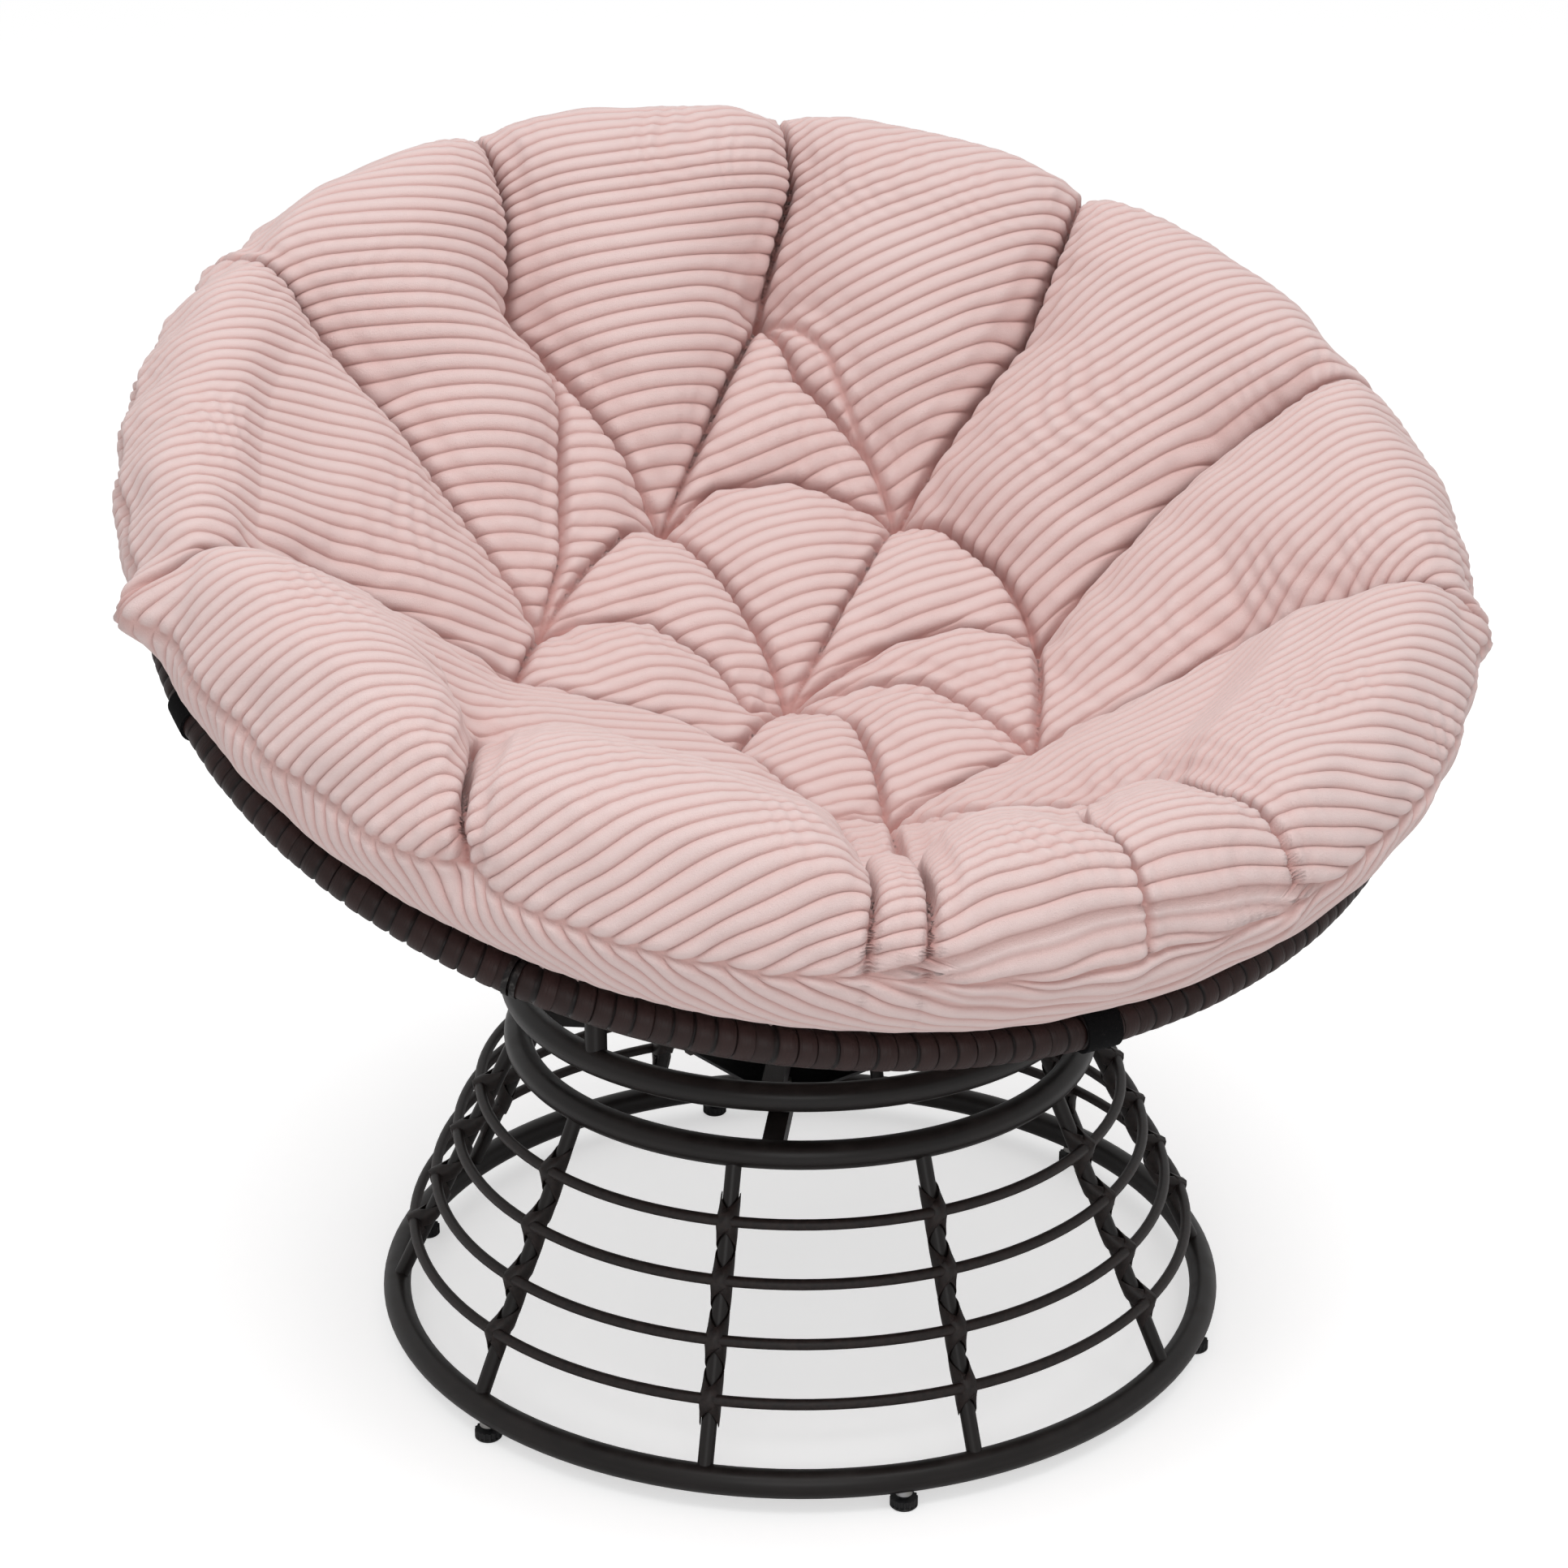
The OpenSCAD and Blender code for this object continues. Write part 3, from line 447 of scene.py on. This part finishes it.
# Places of the stitched points on the flat cover: length from the button in mm, and turn from the front
stitch = {
    "C": (20, 10), "N1": (182, -170), "N2": (211, 131), "N3": (215, 82), "N4": (215, 45), "N5": (195, 3),
    "Nf": (190, -12), "N6": (109, -41), "N7": (218, -92), "N8": (188, -113),
    "a12": (198, 175), "b12": (204, 156), "c12": (201, 140), "a23": (212, 119), "b23": (210, 100),
    "a45": (206, 40), "b45": (199, 30), "c45": (194, 20), "a81": (180, -156), "b81": (175, -138),
    "T0": (374, -161), "T1": (358, 163), "T2": (381, 127), "T3": (408, 94), "T4": (363, 63),
    "T7": (375, -133), "Tb": (248, -12), "Tc": (318, -69), "Td": (371, -97),
    "p1": (121, -174), "q1": (48, 177), "p2": (134, 128), "q2": (61, 118), "p3": (54, 85), "q3": (102, 92),
    "r3": (155, 90), "p4": (72, 62), "q4": (112, 62), "r4": (155, 54), "p5": (83, 23), "q5": (129, 12),
    "p8": (48, -49), "q8": (54, -110), "r8": (109, -127), "s8": (164, -118),
    "g1": (241, 142), "g2": (272, 153), "g3": (289, 157.5), "g4": (320, 160),
    "f1": (266, 147), "f2": (288, 150.5), "f3": (312, 153.5), "f4": (335, 158),
    "u80": (330, -161), "v80": (284, -158), "w80": (237, -149), "x80": (194, -134),
    "e0": (610, -167), "k1": (606, 166), "m0": (452, -165), "e1": (610, 162), "m1": (468, 160),
    "e2": (610, 130), "e3": (610, 93), "e4": (610, 61), "e7": (610, -50), "e8": (610, -88), "e9": (610, -135),
    "e5": (610, 19), "m5": (480, 20), "k5": (400, 24), "e5b": (610, 4.5), "m5b": (470, 5), "k5b": (380, 12),
    "e6": (610, -18), "m6": (440, -17), "e6b": (610, -13.5), "m6b": (440, -11.5),
}
# Each seam: its stitched points, how deep it draws the cover in, and how much it gathers it
seams = [
    ("N1 a12 b12 c12 N2", 1, 0.1), ("N2 a23 b23 N3", 1, 0.3), ("N3 N4", 1, 0.5),
    ("N4 a45 b45 c45 N5", 1, 0.2), ("N5 Nf", 1, 0.2), ("Nf N6", 0.9, 0.1), ("N6 N7", 0.9, 0.1),
    ("N7 N8", 1, 0.1), ("N8 b81 a81 N1", 0.8, 0.2),
    ("C q1 p1 N1", 1, 0.1), ("C q2 p2 N2", 0.8, 0.1), ("C p3 q3 r3 N3", 1, 0.2), ("C p4 q4 r4 N4", 0.9, 0.9),
    ("C p5 q5 N5", 0.9, 0.3), ("C N6", 0.9, 0.2), ("C p8 q8 r8 s8 N8", 1, 0.1),
    ("N1 T0", 0.8, 0.5), ("N8 x80 w80 v80 u80 T0", 0.7, 0.5), ("T0 m0 e0", 1, 0.5), ("N1 T1", 0.9, 0.1),
    ("N2 g1 g2 g3 g4 T1", 0.7, 0.7), ("g1 f1 f2 f3 f4 T1", 0.2, 0.5), ("T1 m1 e1", 1, 0.5),
    ("N2 T2 e2", 1, 0.5), ("N3 T3 e3", 1, 0.2), ("N4 T4 e4", 1, 0.3), ("N5 k5b m5b e5b", 0.3, 0.5),
    ("N5 k5 m5 e5", 0.55, 0.9), ("Nf Tb m6 e6", 0.8, 0.6), ("N5 m6b e6b", 0.8, 0.9), ("Tc e7", 1, 1),
    ("N7 Td e8", 0.95, 0.3), ("N8 T7 e9", 1, 0.6)]
# How far the cover sticks out in knots where seams are drawn up at the border, less in dents, and how deep
# the tufts are pulled, with the radius of each kind
knots = {"e8": 0.025, "k1": 0.018, "e4": 0.013, "e5": 0.006, "e9": 0.008, "e3": 0.006, "e7": -0.012,
         "e6": -0.005, "e2": -0.005}
tufts = {"C": 0.016, "N1": 0.02, "N2": 0.02, "N3": 0.024, "N4": 0.014, "N5": 0.014, "N6": 0.01, "N7": 0.016,
         "N8": 0.018, "T0": 0.012, "T1": 0.024, "T2": 0.02, "T3": 0.016, "T4": 0.012, "T7": 0.016,
         "Tc": 0.012}
knot_r, tuft_r = 0.028, 0.017


def flat_point(name):
    """Where a stitched point lies on the flat cover, X to the right and Y to the back."""
    length, turn = stitch[name]
    return np.array([sin(radians(turn)), -cos(radians(turn))]) * length / 1000


def seam_distance(p, path):
    """Distance from the flat points p to a seam's chain of straight stitches."""
    ends = [flat_point(name) for name in path.split()]
    near = np.full(p.shape[:-1], np.inf)
    for a, b in zip(ends, ends[1:]):
        t = np.clip(((p - a) @ (b - a)) / ((b - a) @ (b - a)), 0, 1)
        near = np.minimum(near, np.linalg.norm(p - a - t[..., None] * (b - a), axis=-1))
    return near


def ripple(p, size):
    """A gentle unevenness from -1 to 1, the sum of crossed waves about size metres long."""
    x, y = p[..., 0] / size, p[..., 1] / size
    return (np.sin(5.1 * x + 1.3 * y + 0.7) * np.cos(1.9 * x - 4.7 * y) + np.sin(2.3 * x + 6.1 * y + 2.1)
            + np.cos(7.3 * x - 2.9 * y + 4.2) * np.sin(3.7 * y)) / 3


def beads(length, pitch):
    """A row of round backs, 0 to 1, that repeats with this pitch."""
    return 0.5 + 0.5 * np.cos(2 * pi * length / pitch)


# Use has pressed the lobes down, those at the front and the left most: the share of a lobe's height that is
# left at each turn, for its inner end and for its crest, and where on the cover these count
pressed_turns = np.radians([-180, -150, -130, -112, -92, -80, -70, -60, -35, -15, 5, 30, 55, 77, 111, 180])
inner_shares = np.array([1, 0.95, 0.7, 0.55, 0.45, 0.3, 0.4, 0.42, 0.25, 0.3, 0.6, 0.5, 0.4, 0.8, 1, 1])
crest_shares = np.array([1, 0.95, 0.6, 0.45, 0.5, 0.85, 1, 1.05, 1.15, 1.1, 1, 0.85, 0.75, 0.85, 1, 1])
pressed_lengths = np.array([0, 0.12, 0.17, 0.22, 0.36, 0.42, 0.507, 0.54, 0.575, 0.64])
inner_counts = np.array([0, 0, 0.6, 1, 1, 0, 0, 0, 0, 0])
crest_counts = np.array([0, 0, 0, 0, 0, 1, 0.65, 0.35, 0, 0])
# How far from a seam the cover's rise, its crease and its gathers reach, and the pitch of the gathers' beads
seam_reach, crease_reach, gather_reach = 0.03, 0.0035, 0.026
bead_pitch, patch_pitch = 0.019, 0.021
# The power that rounds a lobe, and where the seams ease towards the border
lobe_power, ease_from, ease_run = 0.48, 0.49, 0.11


def cover_shape(p):
    """How full the cover is at the flat points p, from 0 on the seams to near 1 in a lobe's middle, how near
    the closest seam is, how much the cover is gathered, and how deep it is creased. Fullness is the share of
    the lobe that is left, times 1 - depth + depth (1 - exp(-d / seam_reach)) ^ lobe_power for each seam,
    whose depth halves towards the border. Gathers are rows of beads beside a seam, which die out over
    gather_reach, and patches of beads besides. A crease is the seam's depth exp(-d / crease_reach)."""
    length = np.linalg.norm(p, axis=-1)
    ease = 1 - 0.5 * np.clip((length - ease_from) / ease_run, 0, 1) ** 2
    turn = np.arctan2(p[..., 0], -p[..., 1])
    full, near = np.ones(length.shape), np.full(length.shape, np.inf)
    for shares, counts in ((inner_shares, inner_counts), (crest_shares, crest_counts)):
        count = np.clip(smooth(length, pressed_lengths, counts), 0, 1)
        full -= count * (1 - smooth(turn, pressed_turns, shares))
    gathered, crease = np.zeros(length.shape), np.zeros(length.shape)
    for path, depth, gather in seams:
        d = seam_distance(p, path)
        full = full * (1 - depth * ease * (1 - (1 - np.exp(-d / seam_reach)) ** lobe_power))
        near = np.minimum(near, d)
        crease = np.maximum(crease, depth * np.exp(-d / crease_reach))
        gathered = np.maximum(gathered, gather * np.exp(-d / gather_reach) * beads(d, bead_pitch))
    wandering = p[..., 0] + patch_pitch * ripple(p, size=0.12)
    patch = np.clip(ripple(p, size=0.24) + 0.1, 0, 1) * beads(wandering, patch_pitch)
    return full, near, np.maximum(gathered, 0.5 * patch), crease


# The border's unevenness, in and out, how long its waves are, and how far in from the border it reaches
uneven, uneven_size, uneven_reach = 0.005, 0.085, 0.06


def border_shape(p):
    """How far the cover sticks out past its meridian at the flat points p: knots and dents where seams are
    drawn up at the border, each a round bump, and an uneven border that dies out inwards."""
    from_border = np.linalg.norm(p, axis=-1) - flat_r
    out = uneven * ripple(p, uneven_size) * np.exp(-(from_border / uneven_reach) ** 2)
    for name, size in knots.items():
        out = out + size * np.exp(-(np.linalg.norm(p - flat_point(name), axis=-1) / knot_r) ** 2)
    return out


def tuft_depth(p):
    """How far the stitched tufts pull the cover down at the flat points p: a round dimple at each."""
    deep = 0
    for name, depth in tufts.items():
        deep = deep + depth * np.exp(-np.linalg.norm(p - flat_point(name), axis=-1) / tuft_r)
    return deep


def on_meridian(p, stations, full, beyond, deep=0):
    """Bowl points of flat points: between the seam's and the lobe's meridian, as full as given, further from
    the middle by beyond, and lower by deep."""
    length = np.linalg.norm(p, axis=-1)
    back_r, back_h, seam_r, seam_h = (smooth(length, stations[:, 0], stations[:, k]) for k in (1, 2, 3, 4))
    r = seam_r + full * (back_r - seam_r) + beyond
    away = np.where(length > 1e-6, length, 1)
    return r * p[..., 0] / away, r * p[..., 1] / away, seam_h + full * (back_h - seam_h) - deep


# The wales' width and height, the power that rounds them, their turn from left to right, the places of their
# rows of points as shares of the width, and how many columns cross them on the top and on the underside
wale_w, wale_h, wale_power, wale_turn = 0.013, 0.0033, 0.45, radians(2.5)
wale_shares = np.array([0, 0.06, 0.15, 0.3, 0.5, 0.7, 0.85, 0.94])
columns, low_columns = 540, 180

# Rows lie along the wales, closer together where the disc ends, and columns are shares of each row's chord
disc_end = 0.05 * flat_r
end_rows = disc_end * np.linspace(1, 0, 25)[:-1] ** 2
wales = int((flat_r - disc_end) / wale_w)
inner_rows = (np.arange(-wales, wales)[:, None] + wale_shares[None, :]).ravel() * wale_w
row_places = np.concatenate([-flat_r + end_rows[::-1], inner_rows, flat_r - end_rows])


def disc_grid(r, count):
    """Flat points of a disc: each row a chord, cut into equal shares, and turned with the wales."""
    rows = row_places * r / flat_r
    u = np.linspace(-1, 1, count + 1)[None, :] * np.sqrt(np.maximum(r * r - rows * rows, 0))[:, None]
    w = np.broadcast_to(rows[:, None], u.shape)
    return np.stack([u * cos(wale_turn) - w * sin(wale_turn),
                     u * sin(wale_turn) + w * cos(wale_turn)], -1), w


# A wale's end is rounded by 3 mm and fades over 1.1 mm, with a bead 7 mm from the seam. Gathers and creases
# dip the cover, and creases fade out over the last 20 mm before the border.
end_round, end_fade = 0.003, 0.0011
end_bead_at, end_bead_r = 0.007, 0.005
gather_dip, crease_dip, crease_run = 0.005, 0.0055, 0.02


def unit(vectors):
    """The vectors at length 1."""
    return vectors / np.maximum(np.linalg.norm(vectors, axis=-1, keepdims=True), 1e-12)


def corduroy(points, rows, near, edge, gathered, crease):
    """Raises wales along each point's normal, which is smoothed over 1, 2 and 4 points each way, by
    |sin(pi row / width)| ^ power, and gives how high each point then is on its wale, 0 to 1. Wales end at a
    seam or the border in a bead half as high again, and a seam draws a crease. Where the cover is gathered,
    the wales and the cover both dip."""
    normal = unit(np.cross(np.gradient(points, axis=1), np.gradient(points, axis=0)))
    for step in (1, 2, 4):
        for side in (0, 1):
            ends = np.pad(normal, [(step, step) if k == side else (0, 0) for k in range(3)], mode="edge")
            count = normal.shape[side]
            normal = (ends.take(range(count), side) + 2 * normal
                      + ends.take(range(2 * step, 2 * step + count), side)) / 4
    normal = unit(normal)
    back = np.abs(np.sin(pi * rows / wale_w))
    closest = np.minimum(near, edge)
    fade = 1 - np.exp(-np.maximum(closest - end_round * (1 - back), 0) / end_fade)
    bead = 1 + 0.5 * np.exp(-((closest - end_bead_at) / end_bead_r) ** 2)
    rise = back ** wale_power * fade
    height = (wale_h * rise * bead * (1 - 0.5 * gathered) - gather_dip * gathered * fade
              - crease_dip * crease * np.minimum(1, edge / crease_run))
    return points + normal * height[..., None], rise * (1 - 0.5 * gathered)


# The cover is blown up as cloth on a square weave of 9 mm cells, to within 4 mm of the border: held at the
# seams and the border, 5 % too wide for the shape it starts from, and pressed out by its fill, so that it
# puckers beside the seams. It moves 13 mm at most, and away from the seams only its smoothed movement counts.
cell = 0.009
weave_stop, seam_held, border_held = 0.004, 0.0055, 0.013
blow_steps, calm_rounds = 20, 8
most_moved, pucker_reach = 0.013, 0.03
line = np.arange(-int(flat_r / cell), int(flat_r / cell) + 1) * cell
weave = np.stack(np.meshgrid(line, line), -1)
swell = np.zeros(weave.shape[:2] + (3,))
full, near = cover_shape(weave)[:2]
from_border = flat_r - np.linalg.norm(weave, axis=-1)
inside = from_border > weave_stop
number = np.cumsum(inside).reshape(inside.shape) - 1
whole = inside[:-1, :-1] & inside[:-1, 1:] & inside[1:, 1:] & inside[1:, :-1]
quads = np.stack([number[:-1, :-1], number[:-1, 1:], number[1:, 1:], number[1:, :-1]], -1)[whole]
start = in_bowl(*on_meridian(weave, top_stations, full, border_shape(weave), tuft_depth(weave)))[inside]
blown = new_piece("blown_cover", start, quads.tolist(), wicker)
held = blown.vertex_groups.new(name="held")
still = inside & ((near < seam_held) | (from_border < border_held))
held.add(number[still].tolist(), 1.0, "REPLACE")
cloth = blown.modifiers.new("cloth", "CLOTH")
cloth.settings.quality = 5
cloth.settings.mass = 0.02
cloth.settings.shrink_min = -0.05
cloth.settings.bending_stiffness = 0.5
cloth.settings.use_pressure = True
cloth.settings.uniform_pressure_force = 9.0
cloth.settings.effector_weights.gravity = 0.0
cloth.settings.vertex_group_mass = held.name
cloth.point_cache.frame_start, cloth.point_cache.frame_end = 1, blow_steps
for step in range(1, blow_steps + 1):
    bpy.context.scene.frame_set(step)
shape = blown.evaluated_get(bpy.context.evaluated_depsgraph_get()).to_mesh()
moved = np.empty(start.size)
shape.vertices.foreach_get("co", moved)
moved = moved.reshape(-1, 3) - start
far = np.linalg.norm(moved, axis=-1, keepdims=True)
swell[inside] = moved * np.minimum(1, most_moved / np.maximum(far, 1e-9))
calm = swell
for _ in range(calm_rounds):
    calm = (calm + np.roll(calm, 1, 0) + np.roll(calm, -1, 0) + np.roll(calm, 1, 1)
            + np.roll(calm, -1, 1)) / 5
pucker = np.exp(-near / pucker_reach)[..., None]
swell = pucker * swell + (1 - pucker) * calm
bpy.data.objects.remove(blown)
bpy.context.scene.frame_set(1)


def swelling(p):
    """How the blown cover moved at the flat points p: a cubic B-spline over four cells each way."""
    place = (p - line[0]) / cell
    base = np.floor(place).astype(int)
    t = place - base
    weights = ((1 - t) ** 3 / 6, (3 * t**3 - 6 * t**2 + 4) / 6, (1 + 3 * t + 3 * t**2 - 3 * t**3) / 6,
               t**3 / 6)
    moved = 0
    for i, down in enumerate(weights):
        for j, over in enumerate(weights):
            row, column = (np.clip(base[..., k] + n - 1, 0, len(line) - 1) for k, n in ((1, i), (0, j)))
            moved = moved + (down[..., 1] * over[..., 0])[..., None] * swell[row, column]
    return moved


# The top: the flat disc, whose stitches stray by up to 0.8 mm, shaped, blown up and waled. What the weave
# moved fades out over 5 mm beside a seam and 10 mm beside the border.
stray, stray_run = 0.0008, 0.02
seam_fade, border_fade = 0.005, 0.01
flat, rows = disc_grid(flat_r, columns)
full, near, gathered, crease = cover_shape(flat)
edge = np.maximum(flat_r - np.linalg.norm(flat, axis=-1), 0)
drift = stray * np.stack([ripple(flat, size=0.11), ripple(flat[..., ::-1], size=0.09)], -1)
cover = in_bowl(*on_meridian(flat + drift * np.clip(edge / stray_run, 0, 1)[..., None], top_stations, full,
                             border_shape(flat), tuft_depth(flat)))
cover += swelling(flat) * np.minimum(1, np.minimum(near / seam_fade, edge / border_fade))[..., None]
patchy = gathered * (0.65 + 0.35 * ripple(flat, size=0.13))
top_points, top_rise = corduroy(cover, rows, near, edge, patchy, crease)

# The underside: as full as the top's border at each turn, with as many wales, and no seam or gather. Its
# columns are taken the other way round, so that its wales rise outwards too.
low_flat, low_rows = disc_grid(low_flat_r, low_columns)
length = np.linalg.norm(low_flat, axis=-1)
heading = low_flat / np.maximum(length, 1e-6)[..., None]
rim_full = cover_shape(heading * flat_r)[0]
mirrored = heading * (flat_r + low_flat_r - length)[..., None]
under = in_bowl(*on_meridian(low_flat, low_stations, rim_full, border_shape(mirrored)))
low_edge = np.maximum(low_flat_r - length, 0)
far_off, none = np.ones(length.shape), np.zeros(length.shape)
low_points, low_rise = (grid[:, ::-1] for grid in corduroy(
    under[:, ::-1], low_rows * flat_r / low_flat_r, far_off, low_edge[:, ::-1], none, none))


def sewn_disc_pair(top, low):
    """Points and faces of two chord grids that share their border: rows are quads, and end rows fans. The
    points are both end points, the top's rows between them, and the underside's rows without their ends."""
    n, across, low_across = len(top), top.shape[1], low.shape[1]
    upper = np.arange(2, 2 + (n - 2) * across).reshape(n - 2, across)
    start = 2 + upper.size
    lower = np.arange(start, start + (n - 2) * (low_across - 2)).reshape(n - 2, low_across - 2)
    lower = np.concatenate([upper[:, :1], lower, upper[:, -1:]], axis=1)
    points = np.concatenate([top[:1, 0], top[-1:, 0], top[1:-1].reshape(-1, 3),
                             low[1:-1, 1:-1].reshape(-1, 3)])
    faces = []
    for grid, on_top in ((upper, True), (lower, False)):
        quads = np.stack([grid[:-1, :-1], grid[:-1, 1:], grid[1:, 1:], grid[1:, :-1]], -1).reshape(-1, 4)
        front = np.stack([np.zeros(grid.shape[1] - 1, int), grid[0, 1:], grid[0, :-1]], -1)
        back = np.stack([np.ones(grid.shape[1] - 1, int), grid[-1, :-1], grid[-1, 1:]], -1)
        for part in (quads, front, back):
            faces += (part if on_top else part[:, ::-1]).tolist()
    return points, faces


# Pale pink plush, with a velvety sheen. Painted shade makes the pile darker down between the wales than on
# their backs, and deep pink in the seams. Brushed patches lie a little lighter or darker.
pile_groove_shade, pile_back, seam_shade_pink = (0.67, 0.42, 0.39, 1), (0.76, 0.61, 0.593, 1), (0.42, 0.17, 0.15, 1)
sheen_pink = (1.0, 0.9, 0.88, 1)
plush, tree, place = new_finish("pink_plush")
brushed = tree.noise(place, scale=24, detail=3)
pile = tree.noise(place, scale=1300, detail=3)
# Painted shade by how high each point is on its wale, plus the brushed patches
wale_shade_and_brushing = tree.written("rise") ** 1.5 * 0.8 + 0.2 * brushed
close_finish(tree, {
    # Painted shade: darker pile between the wales, and deep pink in the seams' creases.
    "Base Color": (tree.written("seam") * 0.8).blend(wale_shade_and_brushing.blend(pile_groove_shade, pile_back), seam_shade_pink),
    "Roughness": 0.86 + 0.1 * pile,
    "Sheen Weight": 0.35,
    "Sheen Roughness": 0.5,
    "Sheen Tint": sheen_pink,
    "Specular IOR Level": 0.15,
    "Normal": tree.bump(pile, depth=0.0006)})

points, faces = sewn_disc_pair(top_points, low_points)
cushion = new_piece("cushion_plush", points, faces, plush)
# The rise and seam values drive the painted shade between the wales and in the seams.
for name, top, low in (("rise", top_rise, low_rise), ("seam", crease, none)):
    write_values(cushion, name, np.concatenate([[0, 0], top[1:-1].ravel(), low[1:-1, 1:-1].ravel()]))
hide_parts("cushion")
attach(cushion, "seat")


# Straps
# Four short black hook-and-loop straps are sewn to the cushion's underside and close round the rim. Their
# woven nylon is dull, with loops and a little pale lint.
strap_dark, lint_grey = (0.003, 0.003, 0.0035, 1), (0.03, 0.027, 0.027, 1)
webbing, tree, place = new_finish("black_strap")
loops = tree.noise(place, scale=1800, detail=3)
lint = tree.noise(place, scale=420, detail=3).step(0.6, 0.8)
close_finish(tree, {
    "Base Color": (lint * 0.5).blend(strap_dark, lint_grey),
    "Roughness": 0.85 + 0.15 * loops,
    "Specular IOR Level": 0.15,
    "Normal": tree.bump(loops, depth=0.0008)})
dress(webbing, "cushion_straps")


# Studio
# A wide pale floor, which glows towards the camera so that it looks white, a big soft lamp over the chair,
# a smaller one at the front left, and an even pale sky.
floor_grey, white = (0.86, 0.86, 0.86, 1), (1, 1, 1, 1)
floor_reach = 30.0
paper, tree, place = new_finish("studio_floor")
to_camera = tree.node("ShaderNodeLightPath", {}, {}, out="Is Camera Ray")
matt = tree.node("ShaderNodeBsdfDiffuse", {}, {"Color": floor_grey})
glow = tree.node("ShaderNodeEmission", {}, {"Color": white, "Strength": 0.5 * to_camera})
both = tree.node("ShaderNodeAddShader", {}, {0: matt, 1: glow})
tree.node("ShaderNodeOutputMaterial", {}, {"Surface": both})
corners = [(x * floor_reach, y * floor_reach, 0) for x, y in ((-1, -1), (1, -1), (1, 1), (-1, 1))]
floor = new_piece("studio_floor", corners, [(0, 1, 2, 3)], paper)

scene = bpy.context.scene
world = bpy.data.worlds.new("sky")
world.use_nodes = True
world.node_tree.nodes.clear()
tree = Link(world.node_tree)
to_camera = tree.node("ShaderNodeLightPath", {}, {}, out="Is Camera Ray")
sky = tree.node("ShaderNodeBackground", {}, {"Color": white, "Strength": 0.55 + 0.45 * to_camera})
tree.node("ShaderNodeOutputWorld", {}, {"Surface": sky})
scene.world = world


def soft_lamp(name, place, aim, size, power):
    """A square lamp of that size in metres, at a place and turned towards aim."""
    light = bpy.data.lights.new(name, "AREA")
    light.shape, light.size, light.energy = "SQUARE", size, power
    lamp = bpy.data.objects.new(name, light)
    scene.collection.objects.link(lamp)
    lamp.location = place
    away = np.array(place) - np.array(aim)
    lamp.rotation_euler = (np.arctan2(np.hypot(away[0], away[1]), away[2]), 0,
                           np.arctan2(away[0], -away[1]))


chair_middle = (0, 0, 0.5)
soft_lamp("lamp_over", place=(-0.2, -0.8, 3.4), aim=chair_middle, size=2.6, power=56)
soft_lamp("lamp_front", place=(-1.4, -3.1, 1.9), aim=chair_middle, size=1.8, power=16)

# The camera stands at the photograph's place, to the left of the seat's front. It looks down and to the right
# by these angles in degrees.
camera_place = (-1.0586, -2.4231, 1.5112)
camera_down, camera_right = 21.875, 23.3145
lens_mm, film_mm = 83.85, 36.0
eye = bpy.data.cameras.new("photo_camera")
eye.lens, eye.sensor_width, eye.sensor_fit = lens_mm, film_mm, "HORIZONTAL"
camera = bpy.data.objects.new("photo_camera", eye)
scene.collection.objects.link(camera)
camera.location = camera_place
camera.rotation_euler = (radians(90 - camera_down), 0, -radians(camera_right))
scene.camera = camera
scene.view_settings.view_transform = "Standard"
